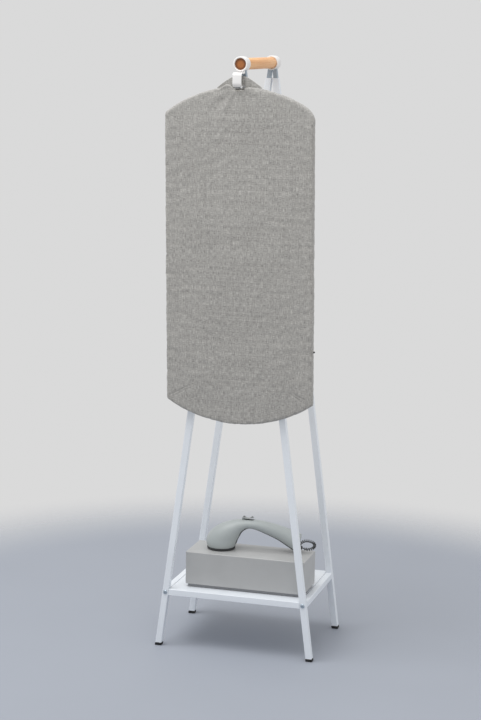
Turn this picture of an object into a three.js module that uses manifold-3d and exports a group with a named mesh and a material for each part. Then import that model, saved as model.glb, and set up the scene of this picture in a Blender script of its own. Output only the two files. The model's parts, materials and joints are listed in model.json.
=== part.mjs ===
// A free-standing garment pressing and steaming station, in millimetres, +Z up.
// Two A-frames of square steel tube carry a beech handle, a padded pressing board hung from a hook,
// and a shelf with a steam generator, its curved steam handset and the curly cord that joins them.
// -Y is the front. The origin is on the floor, under the middle of the object's box.

import * as THREE from "three";
import { mergeVertices } from "three/addons/utils/BufferGeometryUtils.js";
import Module from "manifold-3d";

const wasm = await Module();
wasm.setup();

// ---------------------------------------------------------------- driving dimensions
const GAP = 0.3; // left between pieces that touch
const SEGMENTS = 32; // facets of a full circle

// Stand
const FOOT_SPAN = 398; // between the two feet of one A-frame
const FRAME_SPACING = 276; // between the two A-frames
const APEX_Z = 1500; // where the centrelines of a frame's legs would meet
const TUBE = 16;
const TUBE_WALL = 1.5;
const LEG_TOP_Z = 1433;
const FOOT_HEIGHT = 7;
const FOOT_SIZE = 16.5;
const SPIGOT = 11;
const HANDLE_Z = 1471;
const DOWEL_RADIUS = 14;
const DOWEL_RECESS = 3; // of each dowel end inside its collar
const COLLAR_RADIUS = 18;
const COLLAR_LENGTH = 30;

// Shelf
const SHELF_Z = 143; // middle of the rails
const SHEET = 1.5;
const BOLT_RADIUS = 3;
const BOLT_HEAD_RADIUS = 5.5;
const BOLT_LENGTH = 30;

// Hook under the front collar
const HOOK_WIDTH = 22;
const HOOK_STRIP = 3;
const HOOK_TOP_Z = 1449.7; // middle of the strip's upper run
const HOOK_BOTTOM_Z = 1418.5; // middle of its lower run
const HOOK_FRONT_Y = -178;
const HOOK_TIP_Y = -150;

// Board
const BOARD_WIDTH = 372;
const BOARD_THICKNESS = 20;
const BOARD_BACK_Y = -147.5;
const BOARD_LEAN = 0.016; // the board hangs this far off plumb, in radians
const PIVOT_Y = -156; // line where the board's rolled tab edge rests in the hook
const PIVOT_Z = 1423.5;
const SHOULDER_TOP = -68; // heights in the board's own frame, from the pivot
const CROWN_TOP = -6;
const SHOULDER_BOTTOM = -771;
const CROWN_BOTTOM = -827;
const TAB_TOP = 19;
const TAB_THICKNESS = 5;
const SLOT_HALF_WIDTH = 13;
const SLOT_BOTTOM = -14;
const COVER_WALL = 2;
const COVER_EDGE = 8; // padded edge between the core and the outside
const COVER_HEM = 34; // width of the cover's return on the back
const CORE_THICKNESS = 8;

// Base unit
const BASE = { x: 16.5, y: -49.5, width: 312, depth: 117, bottom: 159, top: 243 };
const BASE_WALL = 2.5;
const PLINTH_INSET = 5;
const TANK = { x: -76, width: 110, front: -95, bottom: 165, top: 233 };
const TANK_FASCIA_TOP = 239;
const TANK_WALL = 2;
const OUTLET = { x: -6, z: 172, radius: 7 }; // of the curly cord, in the back wall
const INLET = { x: 60, z: 198, width: 28, height: 20 };
const ROCKER = { x: 88, z: 198, width: 12, height: 19 };

// Handset, in its own frame: x runs from the middle of the steam head to the tail, z = 0 is the lid
const HANDSET_X = -63;
const HANDSET_Y = -47;
const HANDSET_TURN = 0.117; // about Z, in radians
const HANDSET_WALL = 2.5;
const SOLE_HEIGHT = 6;
const LEVER_PIVOT_X = 58;
const LEVER_PIVOT_Z = 72;
const LEVER_WIDTH = 10;
const PIN_RADIUS = 1.5;
const PIN_LENGTH = 33;
const CORD_RADIUS = 4.2; // outside of the curls

// Each section of the handset body: outer and inner point of its middle plane, and half its width
const HANDSET_SECTIONS = [
  { outer: [-35.5, SOLE_HEIGHT + GAP], inner: [35.5, SOLE_HEIGHT + GAP], half: 34 },
  { outer: [-38.5, 19], inner: [39.5, 15], half: 36 },
  { outer: [-35, 35], inner: [43, 25], half: 35.5 },
  { outer: [-22, 51], inner: [48, 35], half: 33.5 },
  { outer: [-1, 65], inner: [54, 45], half: 29 },
  { outer: [26, 74.5], inner: [62, 52], half: 23.5 },
  { outer: [52, 79], inner: [73, 56.5], half: 19.5 },
  { outer: [86, 79.5], inner: [88, 54.5], half: 18 },
  { outer: [118, 76], inner: [110, 46.5], half: 18 },
  { outer: [156, 67], inner: [144, 32], half: 20 },
  { outer: [186, 57], inner: [173, 14.5], half: 22.5 },
  { outer: [205, 50], inner: [193, 1.5], half: 24.5 },
];

const FRONT = -FRAME_SPACING / 2; // middle of the front A-frame
const BACK = FRAME_SPACING / 2;
const COLLAR_REACH = BACK + COLLAR_LENGTH / 2;
const HOOK_REACH = HOOK_FRONT_Y - HOOK_STRIP / 2;

// ---------------------------------------------------------------- materials
const finish = (color, roughness, metalness = 0) =>
  new THREE.MeshStandardMaterial({ color, roughness, metalness });
const whitePaint = finish(0xe6eaf2, 0.35);
const blackRubber = finish(0x161618, 0.8);
const bareSteel = finish(0x7f8a93, 0.4, 0.9);
const beech = finish(0xd0a06c, 0.5);
const melange = finish(0x989592, 0.95);
const felt = finish(0xd9d4c9, 1);
const plywood = finish(0xc6a77c, 0.7);
const greyPlastic = finish(0xb4b5b7, 0.45);
const handsetPlastic = finish(0xa2a7a8, 0.45);
const darkPlastic = finish(0x2a2c2e, 0.6);
const clearPlastic = finish(0xc9d6dd, 0.2);
const aluminium = finish(0xa8abad, 0.35, 0.9);
const silicone = finish(0xcfcac2, 0.6);
const circuitGreen = finish(0x2f5b3c, 0.6);
const cordGrey = finish(0x3b3d3f, 0.55);

// ---------------------------------------------------------------- solids
function solid(geometry) {
  const bare = geometry.clone();
  bare.deleteAttribute("normal");
  bare.deleteAttribute("uv");
  const merged = mergeVertices(bare, 1e-4);
  const mesh = new wasm.Mesh({
    numProp: 3,
    vertProperties: new Float32Array(merged.attributes.position.array),
    triVerts: new Uint32Array(merged.index.array),
  });
  return new wasm.Manifold(mesh);
}

function surface(manifold) {
  const mesh = manifold.getMesh();
  const geometry = new THREE.BufferGeometry();
  geometry.setAttribute("position", new THREE.BufferAttribute(mesh.vertProperties, 3));
  geometry.setIndex(new THREE.BufferAttribute(mesh.triVerts, 1));
  geometry.computeVertexNormals();
  return geometry;
}

const cut = (body, ...tools) =>
  surface(tools.reduce((left, tool) => left.subtract(solid(tool)), solid(body)));
const join = (body, ...others) =>
  surface(others.reduce((sum, other) => sum.add(solid(other)), solid(body)));
const overlapOf = (a, b) => surface(solid(a).intersect(solid(b)));

// A box from its low and high corners.
function block([x0, y0, z0], [x1, y1, z1]) {
  const geometry = new THREE.BoxGeometry(x1 - x0, y1 - y0, z1 - z0);
  return geometry.translate((x0 + x1) / 2, (y0 + y1) / 2, (z0 + z1) / 2);
}

const rodX = (radius, length) =>
  new THREE.CylinderGeometry(radius, radius, length, SEGMENTS).rotateZ(Math.PI / 2);
const rodY = (radius, length) => new THREE.CylinderGeometry(radius, radius, length, SEGMENTS);
const rodZ = (radius, length) =>
  new THREE.CylinderGeometry(radius, radius, length, SEGMENTS).rotateX(Math.PI / 2);

// An outline in X and Z, thickened from front to back along Y.
function slabXZ(shape, front, back, curveSegments = 12) {
  const settings = { depth: back - front, bevelEnabled: false, curveSegments };
  return new THREE.ExtrudeGeometry(shape, settings).rotateX(Math.PI / 2).translate(0, back, 0);
}

// An outline in Y and Z, thickened along X and centred on x = 0.
function slabYZ(shape, width, curveSegments = 12) {
  const settings = { depth: width, bevelEnabled: false, curveSegments };
  const toYZ = new THREE.Matrix4().makeBasis(
    new THREE.Vector3(0, 1, 0),
    new THREE.Vector3(0, 0, 1),
    new THREE.Vector3(1, 0, 0),
  );
  const geometry = new THREE.ExtrudeGeometry(shape, settings);
  return geometry.translate(0, 0, -width / 2).applyMatrix4(toYZ);
}

function rectangle(width, height) {
  const shape = new THREE.Shape();
  shape.moveTo(-width / 2, -height / 2);
  shape.lineTo(width / 2, -height / 2);
  shape.lineTo(width / 2, height / 2);
  shape.lineTo(-width / 2, height / 2);
  shape.closePath();
  return shape;
}

// A round bar along a smooth curve through the given points.
function bar(points, radius, sides, steps) {
  const curve = new THREE.CatmullRomCurve3(points.map((p) => new THREE.Vector3(...p)));
  const ring = new THREE.Shape();
  ring.absarc(0, 0, radius, 0, 2 * Math.PI);
  const settings = { extrudePath: curve, steps, curveSegments: sides / 2, bevelEnabled: false };
  return new THREE.ExtrudeGeometry(ring, settings);
}

function addPart(group, name, geometry, material, position = [0, 0, 0]) {
  const mesh = new THREE.Mesh(geometry, material);
  mesh.name = name;
  mesh.position.set(...position);
  group.add(mesh);
  return mesh;
}

// ---------------------------------------------------------------- stand
const legX = (z) => (FOOT_SPAN / 2) * (1 - z / APEX_Z);

// Leans a shape that stands upright on z = 0, so that it follows a leg on the side given (-1 or 1).
function lean(geometry, side) {
  const shear = new THREE.Matrix4().makeShear(0, 0, 0, 0, (-side * FOOT_SPAN) / 2 / APEX_Z, 0);
  return geometry.applyMatrix4(shear);
}

// A square bar along a leg between two heights.
function legBar(side, size, bottom, top) {
  const geometry = block([-size / 2, -size / 2, bottom], [size / 2, size / 2, top]);
  return lean(geometry, side).translate((side * FOOT_SPAN) / 2, 0, 0);
}

function legTube(side) {
  const bore = TUBE - 2 * TUBE_WALL;
  const boltHole = rodY(BOLT_RADIUS + GAP, 2 * TUBE).translate(side * legX(SHELF_Z), 0, SHELF_Z);
  return cut(
    legBar(side, TUBE, FOOT_HEIGHT, LEG_TOP_Z),
    legBar(side, bore, FOOT_HEIGHT - 1, LEG_TOP_Z + 1),
    boltHole,
  );
}

function footCap(side) {
  const plug = TUBE - 2 * TUBE_WALL - 2 * GAP;
  return join(
    legBar(side, FOOT_SIZE, 0, FOOT_HEIGHT - GAP),
    legBar(side, plug, FOOT_HEIGHT - 1, FOOT_HEIGHT + 16),
  );
}

function spigot(side) {
  const collar = rodY(COLLAR_RADIUS + GAP, 2 * TUBE).translate(0, 0, HANDLE_Z);
  return cut(legBar(side, SPIGOT, LEG_TOP_Z - 26, HANDLE_Z - 8), collar);
}

function collar() {
  const bore = DOWEL_RADIUS + GAP;
  const half = COLLAR_LENGTH / 2;
  const edge = 1;
  const profile = [
    [bore, -half],
    [COLLAR_RADIUS - edge, -half],
    [COLLAR_RADIUS, -half + edge],
    [COLLAR_RADIUS, half - edge],
    [COLLAR_RADIUS - edge, half],
    [bore, half],
    [bore, -half],
  ];
  return new THREE.LatheGeometry(
    profile.map((p) => new THREE.Vector2(...p)),
    SEGMENTS,
  );
}

function dowel() {
  const half = COLLAR_REACH - DOWEL_RECESS;
  const edge = 1.2;
  const profile = [
    [0, -half],
    [DOWEL_RADIUS - edge, -half],
    [DOWEL_RADIUS, -half + edge],
    [DOWEL_RADIUS, half - edge],
    [DOWEL_RADIUS - edge, half],
    [0, half],
  ];
  return new THREE.LatheGeometry(
    profile.map((p) => new THREE.Vector2(...p)),
    SEGMENTS,
  );
}

// A button-head bolt along Y: the head's flat underside is at y = 0 and the shank runs to +Y.
function bolt() {
  const head = 3.2;
  const profile = [
    [0, -head],
    [2.6, -head],
    [4.4, -head * 0.78],
    [BOLT_HEAD_RADIUS, -GAP],
    [BOLT_RADIUS, -GAP],
    [BOLT_RADIUS, BOLT_LENGTH],
    [0, BOLT_LENGTH],
  ];
  return new THREE.LatheGeometry(
    profile.map((p) => new THREE.Vector2(...p)),
    SEGMENTS / 2,
  );
}

// A rail across one A-frame, cut at both ends to the lean of the legs.
function crossRail() {
  const low = SHELF_Z - TUBE / 2;
  const high = SHELF_Z + TUBE / 2;
  const reach = (z) => legX(z) - TUBE / 2 - GAP;
  const shape = new THREE.Shape();
  shape.moveTo(-reach(low), low);
  shape.lineTo(reach(low), low);
  shape.lineTo(reach(high), high);
  shape.lineTo(-reach(high), high);
  shape.closePath();
  const inner = TUBE / 2 - TUBE_WALL;
  const bore = block([-FOOT_SPAN, -inner, SHELF_Z - inner], [FOOT_SPAN, inner, SHELF_Z + inner]);
  return cut(slabXZ(shape, -TUBE / 2, TUBE / 2), bore);
}

// A rail from front leg to back leg, with a blind hole for a bolt in each end.
function sideRail() {
  const half = FRAME_SPACING / 2 - TUBE / 2 - GAP;
  const hole = (end) => rodY(BOLT_RADIUS + GAP, 2 * BOLT_LENGTH).translate(0, end * half, 0);
  return cut(
    block([-TUBE / 2, -half, -TUBE / 2], [TUBE / 2, half, TUBE / 2]),
    hole(-1),
    hole(1),
  );
}

// The shelf sheet, its four edges turned down inside the rails.
function shelfSheet() {
  const x = legX(SHELF_Z) - TUBE / 2 - GAP - 0.7;
  const y = FRAME_SPACING / 2 - TUBE / 2 - GAP;
  const top = SHELF_Z + TUBE / 2 - GAP;
  const flange = 12;
  return cut(
    block([-x, -y, top - flange], [x, y, top]),
    block([SHEET - x, SHEET - y, top - flange - 1], [x - SHEET, y - SHEET, top - SHEET]),
  );
}

// The hook is a bent strip: welded under the collar, forward, down, back through the board's slot
// and up again in a short tip.
function hook() {
  const bendTop = 6;
  const bendBottom = 9;
  const bendTip = 6;
  const riserY = -148;
  const bendRiser = 3.3;
  const tipZ = HOOK_BOTTOM_Z + bendTip;
  const path = new THREE.Path();
  path.moveTo(riserY, HANDLE_Z - 11);
  path.lineTo(riserY, HOOK_TOP_Z + bendRiser);
  path.absarc(riserY - bendRiser, HOOK_TOP_Z + bendRiser, bendRiser, 0, -Math.PI / 2, true);
  path.lineTo(HOOK_FRONT_Y + bendTop, HOOK_TOP_Z);
  path.absarc(HOOK_FRONT_Y + bendTop, HOOK_TOP_Z - bendTop, bendTop, Math.PI / 2, Math.PI);
  path.lineTo(HOOK_FRONT_Y, HOOK_BOTTOM_Z + bendBottom);
  path.absarc(
    HOOK_FRONT_Y + bendBottom,
    HOOK_BOTTOM_Z + bendBottom,
    bendBottom,
    Math.PI,
    1.5 * Math.PI,
  );
  path.lineTo(HOOK_TIP_Y - bendTip, HOOK_BOTTOM_Z);
  path.absarc(HOOK_TIP_Y - bendTip, tipZ, bendTip, 1.5 * Math.PI, 2 * Math.PI);
  const collarSpace = rodY(COLLAR_RADIUS + GAP, 3 * COLLAR_LENGTH).translate(0, FRONT, HANDLE_Z);
  return cut(slabYZ(stripAlong(path, HOOK_STRIP), HOOK_WIDTH), collarSpace);
}

// The outline of a strip of even thickness whose middle line is the given path.
function stripAlong(path, thickness) {
  const middle = path.getPoints(6).filter((p, i, all) => i === 0 || p.distanceTo(all[i - 1]) > 1e-6);
  const sideOf = (offset) =>
    middle.map((point, i) => {
      const before = middle[Math.max(i - 1, 0)];
      const after = middle[Math.min(i + 1, middle.length - 1)];
      const along = after.clone().sub(before).normalize();
      return new THREE.Vector2(-along.y, along.x).multiplyScalar(offset).add(point);
    });
  return new THREE.Shape([...sideOf(thickness / 2), ...sideOf(-thickness / 2).reverse()]);
}

function buildStand() {
  const stand = new THREE.Group();
  for (const [end, y] of [["front", FRONT], ["back", BACK]]) {
    for (const [name, side] of [["left", -1], ["right", 1]]) {
      const corner = `${end}_${name}`;
      addPart(stand, `leg_${corner}`, legTube(side), whitePaint, [0, y, 0]);
      addPart(stand, `foot_${corner}`, footCap(side), blackRubber, [0, y, 0]);
      addPart(stand, `leg_spigot_${corner}`, spigot(side), bareSteel, [0, y, 0]);
      const screw = addPart(stand, `shelf_bolt_${corner}`, bolt(), bareSteel);
      screw.position.set(side * legX(SHELF_Z), y * (1 + TUBE / FRAME_SPACING), SHELF_Z);
      if (end === "back") screw.rotation.z = Math.PI;
    }
    addPart(stand, `collar_${end}`, collar(), whitePaint, [0, y, HANDLE_Z]);
    addPart(stand, `shelf_rail_${end}`, crossRail(), whitePaint, [0, y, 0]);
  }
  addPart(stand, "handle_dowel", dowel(), beech, [0, 0, HANDLE_Z]);
  addPart(stand, "shelf_rail_left", sideRail(), whitePaint, [-legX(SHELF_Z), 0, SHELF_Z]);
  addPart(stand, "shelf_rail_right", sideRail(), whitePaint, [legX(SHELF_Z), 0, SHELF_Z]);
  addPart(stand, "shelf_sheet", shelfSheet(), whitePaint);
  addPart(stand, "board_hook", hook(), whitePaint);
  return stand;
}

// ---------------------------------------------------------------- board
// The board's outline, drawn in by the inset: upright sides between two shallow arcs.
function boardOutline(inset) {
  const half = BOARD_WIDTH / 2;
  const arc = (shoulder, crown) => {
    const rise = Math.abs(crown - shoulder);
    return (half * half + rise * rise) / (2 * rise);
  };
  const topRadius = arc(SHOULDER_TOP, CROWN_TOP);
  const bottomRadius = arc(SHOULDER_BOTTOM, CROWN_BOTTOM);
  const x = half - inset;
  const topAngle = Math.asin(x / (topRadius - inset));
  const bottomAngle = Math.asin(x / (bottomRadius - inset));
  const up = Math.PI / 2;
  const shape = new THREE.Shape();
  shape.absarc(0, CROWN_TOP - topRadius, topRadius - inset, up - topAngle, up + topAngle);
  shape.absarc(
    0,
    CROWN_BOTTOM + bottomRadius,
    bottomRadius - inset,
    -up - bottomAngle,
    -up + bottomAngle,
  );
  shape.closePath();
  return shape;
}

// The hanging tab: a bell rising from the middle of the board's top edge.
function tabOutline() {
  const side = [
    [62, -20],
    [56, -9],
    [44, 1],
    [33, 9],
    [22, 16],
    [13, TAB_TOP],
  ];
  const right = side.map((p) => new THREE.Vector2(...p));
  const left = side.map(([x, z]) => new THREE.Vector2(-x, z)).reverse();
  return new THREE.Shape([...right, ...left]);
}

function boardCover(front) {
  const back = BOARD_BACK_Y;
  const far = 1;
  const rolledEdge = rodX(TAB_THICKNESS / 2, 2 * SLOT_HALF_WIDTH).translate(0, PIVOT_Y, 0);
  const tab = slabXZ(tabOutline(), PIVOT_Y - TAB_THICKNESS / 2, PIVOT_Y + TAB_THICKNESS / 2);
  const slot = block(
    [-SLOT_HALF_WIDTH, front - far, SLOT_BOTTOM],
    [SLOT_HALF_WIDTH, back + far, 0],
  );
  const pocket = slabXZ(boardOutline(COVER_EDGE), front + COVER_WALL, back - COVER_WALL);
  const backOpening = slabXZ(boardOutline(COVER_HEM), back - 2 * COVER_WALL, back + far);
  const padded = join(slabXZ(boardOutline(0), front, back), tab);
  return join(cut(padded, pocket, backOpening, slot), rolledEdge);
}

function buildBoard() {
  const board = new THREE.Group();
  board.position.z = PIVOT_Z;
  board.rotation.y = -BOARD_LEAN;
  const front = BOARD_BACK_Y - BOARD_THICKNESS;
  const coreBack = BOARD_BACK_Y - COVER_WALL - GAP;
  const coreFront = coreBack - CORE_THICKNESS;
  const inside = boardOutline(COVER_EDGE + GAP);
  addPart(board, "board_cover", boardCover(front), melange);
  addPart(board, "board_core", slabXZ(inside, coreFront, coreBack), plywood);
  const padding = slabXZ(inside, front + COVER_WALL + GAP, coreFront - GAP);
  addPart(board, "board_padding", padding, felt);
  const stud = rodX(2.2, 4).translate(BOARD_WIDTH / 2 + 2 + GAP, 0, 0);
  addPart(board, "cover_edge_stud", stud, darkPlastic, [0, front + BOARD_THICKNESS / 2, -640]);
  return board;
}

// ---------------------------------------------------------------- base unit
const baseLow = BASE.y - BASE.depth / 2;
const baseHigh = BASE.y + BASE.depth / 2;

function roundedPlan(width, depth, radius) {
  const x = width / 2 - radius;
  const y = depth / 2 - radius;
  const quarter = Math.PI / 2;
  const shape = new THREE.Shape();
  shape.absarc(x, -y, radius, -quarter, 0);
  shape.absarc(x, y, radius, 0, quarter);
  shape.absarc(-x, y, radius, quarter, 2 * quarter);
  shape.absarc(-x, -y, radius, 2 * quarter, 3 * quarter);
  shape.closePath();
  return shape;
}

const slabXY = (shape, bottom, top) =>
  new THREE.ExtrudeGeometry(shape, { depth: top - bottom, bevelEnabled: false, curveSegments: 4 })
    .translate(BASE.x, BASE.y, bottom);

function housing() {
  const inner = [BASE.width - 2 * BASE_WALL, BASE.depth - 2 * BASE_WALL];
  const wallCut = (feature, margin) =>
    block(
      [feature.x - feature.width / 2 - margin, baseHigh - 10, feature.z - feature.height / 2 - margin],
      [feature.x + feature.width / 2 + margin, baseHigh + 10, feature.z + feature.height / 2 + margin],
    );
  const bayLow = TANK.bottom - 2 * GAP;
  const bayHigh = TANK_FASCIA_TOP + 2 * GAP;
  const bay = { x: TANK.x, z: (bayLow + bayHigh) / 2, width: TANK.width, height: bayHigh - bayLow };
  return cut(
    slabXY(roundedPlan(BASE.width, BASE.depth, 5), BASE.bottom, BASE.top),
    slabXY(roundedPlan(...inner, 3), BASE.bottom - 1, BASE.top - BASE_WALL),
    wallCut(bay, 2 * GAP),
    wallCut(INLET, GAP),
    wallCut(ROCKER, GAP),
    rodY(OUTLET.radius + GAP, 20).translate(OUTLET.x, baseHigh, OUTLET.z),
  );
}

const PAN_TOP = BASE.bottom + 3;
const PUMP = { x: 26, y: -62, z: PAN_TOP + 20 + GAP };
const POT = { x: 126, y: -62, z: PAN_TOP + GAP, radius: 30, height: 58 };

function basePan() {
  const clear = 2 * (BASE_WALL + 1);
  const plinthBottom = SHELF_Z + TUBE / 2;
  return join(
    slabXY(roundedPlan(BASE.width - clear, BASE.depth - clear, 3), BASE.bottom, PAN_TOP),
    slabXY(
      roundedPlan(BASE.width - 2 * PLINTH_INSET, BASE.depth - 2 * PLINTH_INSET, 4),
      plinthBottom,
      BASE.bottom - GAP,
    ),
    block(
      [BASE.x - 60, BASE.y - 20, BASE.bottom - 2],
      [BASE.x + 60, BASE.y + 20, BASE.bottom + 1],
    ),
  );
}

const tankLeft = TANK.x - TANK.width / 2;
const tankRight = TANK.x + TANK.width / 2;
const filler = { y: -30, radius: 12 };

// The tank is a thin box with a filler hole, a fascia that fills the bay and a grip rib on it.
function waterTank() {
  const back = baseHigh - GAP;
  const rib = block([TANK.x - 22, back - 1, 215], [TANK.x + 22, back + 6, 221]);
  const shell = join(
    block([tankLeft, TANK.front, TANK.bottom], [tankRight, back - 1, TANK.top]),
    block([tankLeft, back - 3, TANK.bottom], [tankRight, back, TANK_FASCIA_TOP]),
    rib,
  );
  const hollow = block(
    [tankLeft + TANK_WALL, TANK.front + TANK_WALL, TANK.bottom + TANK_WALL],
    [tankRight - TANK_WALL, back - 3 - TANK_WALL, TANK.top - TANK_WALL],
  );
  const hole = rodZ(filler.radius, 3 * TANK_WALL).translate(TANK.x, filler.y, TANK.top - 1);
  return cut(shell, hollow, hole);
}

function fillerCap() {
  const rim = rodZ(filler.radius + 3, 3).translate(0, 0, 1.5 + GAP);
  return join(rim, rodZ(filler.radius - GAP, 8).translate(0, 0, -2));
}

function pump() {
  const motor = rodX(15, 50);
  const head = block([25 - 1, -13, -16], [38, 13, 13]);
  const saddle = block([-20, -13, -20], [18, 13, -8]);
  return join(motor, head, saddle);
}

// The steam generator: a cast pot with a flange, standing on the pan.
function steamGenerator() {
  const { radius, height } = POT;
  const flange = 4;
  const profile = [
    [0, 0],
    [radius, 0],
    [radius, 24],
    [radius + flange, 24],
    [radius + flange, 30],
    [radius, 30],
    [radius, height - 8],
    [radius - 6, height],
    [0, height],
  ];
  const points = profile.map((p) => new THREE.Vector2(...p));
  return new THREE.LatheGeometry(points, SEGMENTS).rotateX(Math.PI / 2);
}

function mainsInlet() {
  const { width, height } = INLET;
  const body = block([-width / 2, -20, -height / 2], [width / 2, 0, height / 2]);
  const rim = block([-width / 2 - 2, GAP, -height / 2 - 2], [width / 2 + 2, 2, height / 2 + 2]);
  const bridge = block([-width / 2, -1, -height / 2], [width / 2, 1, height / 2]);
  const recess = block([-width / 2 + 2, -14, -height / 2 + 2], [width / 2 - 2, 3, height / 2 - 2]);
  const blades = [-7, 0, 7].map((x, i) =>
    block([x - 1, -16, (i === 1 ? 3 : -2) - 2], [x + 1, -3, (i === 1 ? 3 : -2) + 2]),
  );
  return join(cut(join(body, rim, bridge), recess), ...blades);
}

// A rocker whose outer face is a shallow V: the lower half stands proud while it is off.
function rocker() {
  const half = ROCKER.height / 2 - 2 * GAP;
  const shape = new THREE.Shape();
  shape.moveTo(-8, -half + 2);
  shape.lineTo(0.5, -half);
  shape.lineTo(2.6, -half);
  shape.lineTo(0.6, 0);
  shape.lineTo(0.2, half);
  shape.lineTo(-8, half - 2);
  shape.closePath();
  return slabYZ(shape, ROCKER.width - 2 * GAP);
}

// The gland that the curly cord ends in: a flange inside the wall and a tapered nose outside it.
function cordGland() {
  const profile = [
    [0, -8],
    [OUTLET.radius + 2.5, -8],
    [OUTLET.radius + 2.5, -BASE_WALL - GAP],
    [OUTLET.radius, -BASE_WALL - GAP],
    [OUTLET.radius, 3],
    [5, 9],
    [0, 9],
  ];
  return new THREE.LatheGeometry(
    profile.map((p) => new THREE.Vector2(...p)),
    SEGMENTS / 2,
  );
}

function buildBaseUnit() {
  const base = new THREE.Group();
  addPart(base, "base_housing", housing(), greyPlastic);
  addPart(base, "base_pan", basePan(), darkPlastic);

  const tank = new THREE.Group();
  addPart(tank, "water_tank", waterTank(), clearPlastic);
  addPart(tank, "filler_cap", fillerCap(), darkPlastic, [TANK.x, filler.y, TANK.top]);
  base.add(tank);

  const dockBack = TANK.front - 2 * GAP;
  const dock = block([TANK.x - 12, dockBack - 8, PAN_TOP + GAP], [TANK.x + 12, dockBack, 189]);
  addPart(base, "tank_dock", dock, darkPlastic);
  addPart(base, "pump", pump(), darkPlastic, [PUMP.x, PUMP.y, PUMP.z]);
  addPart(base, "steam_generator", steamGenerator(), aluminium, [POT.x, POT.y, POT.z]);
  const board = block([-34, -0.8, 0], [34, 0.8, 44]);
  addPart(base, "control_board", board, circuitGreen, [120, -14, PAN_TOP + GAP]);

  const hose = (name, points) => addPart(base, name, bar(points, 3, 8, 10), silicone);
  const pumpLeft = PUMP.x - 25 - GAP;
  const pumpRight = PUMP.x + 38 + GAP;
  hose("feed_hose", [
    [TANK.x + 12 + GAP, dockBack - 4, 179],
    [-46, dockBack - 5, 180],
    [-23, -101, 181],
    [-13, -93, 182],
    [-11, -74, PUMP.z],
    [pumpLeft - 6, PUMP.y, PUMP.z],
    [pumpLeft, PUMP.y, PUMP.z],
  ]);
  hose("pressure_hose", [
    [pumpRight, PUMP.y, PUMP.z],
    [pumpRight + 8, PUMP.y, PUMP.z],
    [POT.x - POT.radius - 8, POT.y, PUMP.z - 2],
    [POT.x - POT.radius - GAP, POT.y, PUMP.z - 2],
  ]);
  hose("steam_hose", [
    [POT.x, POT.y, POT.z + POT.height + GAP],
    [POT.x, POT.y, POT.z + POT.height + 5],
    [118, -56, 232],
    [96, -44, 232],
    [60, -28, 219],
    [20, -20, 197],
    [OUTLET.x + 4, -14, 179],
    [OUTLET.x, -6, OUTLET.z],
    [OUTLET.x, baseHigh - 8 - GAP, OUTLET.z],
  ]);

  addPart(base, "mains_inlet", mainsInlet(), darkPlastic, [INLET.x, baseHigh, INLET.z]);
  addPart(base, "power_rocker", rocker(), darkPlastic, [ROCKER.x, baseHigh, ROCKER.z]);
  addPart(base, "cord_gland", cordGland(), darkPlastic, [OUTLET.x, baseHigh, OUTLET.z]);
  return base;
}

// ---------------------------------------------------------------- handset
// A closed body through elliptical sections, each drawn in by the inset.
function loft(sections, inset, sides = 20) {
  const positions = [];
  const indices = [];
  for (const { outer, inner, half } of sections) {
    const middle = [(outer[0] + inner[0]) / 2, (outer[1] + inner[1]) / 2];
    const reach = [(outer[0] - inner[0]) / 2, (outer[1] - inner[1]) / 2];
    const scale = 1 - inset / Math.hypot(...reach);
    for (let i = 0; i < sides; i++) {
      const angle = (2 * Math.PI * i) / sides;
      const along = Math.cos(angle) * scale;
      positions.push(
        middle[0] + reach[0] * along,
        Math.sin(angle) * (half - inset),
        middle[1] + reach[1] * along,
      );
    }
  }
  const ringPoint = (ring, i) => ring * sides + (i % sides);
  for (let ring = 0; ring + 1 < sections.length; ring++) {
    for (let i = 0; i < sides; i++) {
      const [a, b] = [ringPoint(ring, i), ringPoint(ring, i + 1)];
      const [c, d] = [ringPoint(ring + 1, i), ringPoint(ring + 1, i + 1)];
      indices.push(a, c, b, b, c, d);
    }
  }
  const last = sections.length - 1;
  for (let i = 1; i + 1 < sides; i++) {
    indices.push(0, i, i + 1);
    indices.push(ringPoint(last, 0), ringPoint(last, i + 1), ringPoint(last, i));
  }
  const geometry = new THREE.BufferGeometry();
  geometry.setAttribute("position", new THREE.Float32BufferAttribute(positions, 3));
  geometry.setIndex(indices);
  return geometry;
}

const moved = ({ outer, inner, half }, [x, z]) => ({
  outer: [outer[0] + x, outer[1] + z],
  inner: [inner[0] + x, inner[1] + z],
  half,
});
const tail = HANDSET_SECTIONS.at(-1);
const tailSpan = Math.hypot(tail.outer[0] - tail.inner[0], tail.outer[1] - tail.inner[1]);
const tailAxis = [
  (tail.outer[1] - tail.inner[1]) / tailSpan,
  -(tail.outer[0] - tail.inner[0]) / tailSpan,
];
const alongTail = (distance) => [tailAxis[0] * distance, tailAxis[1] * distance];

// The point on the tail's end, below its middle, where the cord leaves.
const exit = {
  x: tail.inner[0] + 0.3 * (tail.outer[0] - tail.inner[0]),
  z: tail.inner[1] + 0.3 * (tail.outer[1] - tail.inner[1]),
};

function handsetShell(side) {
  const hollow = [
    moved(HANDSET_SECTIONS[0], [0, -1]),
    ...HANDSET_SECTIONS.slice(1, -1),
    moved(tail, alongTail(1)),
  ];
  const far = 300;
  const half = block([-far, GAP / 2, -far], [far, far, far]);
  if (side < 0) half.translate(0, -far - GAP / 2, 0);
  const leverSlot = block(
    [LEVER_PIVOT_X - 5, -LEVER_WIDTH / 2 - 1, 62],
    [LEVER_PIVOT_X + 27, LEVER_WIDTH / 2 + 1, 92],
  );
  const shell = cut(loft(HANDSET_SECTIONS, 0), loft(hollow, HANDSET_WALL), leverSlot, pinHole());
  return overlapOf(shell, half);
}

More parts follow.
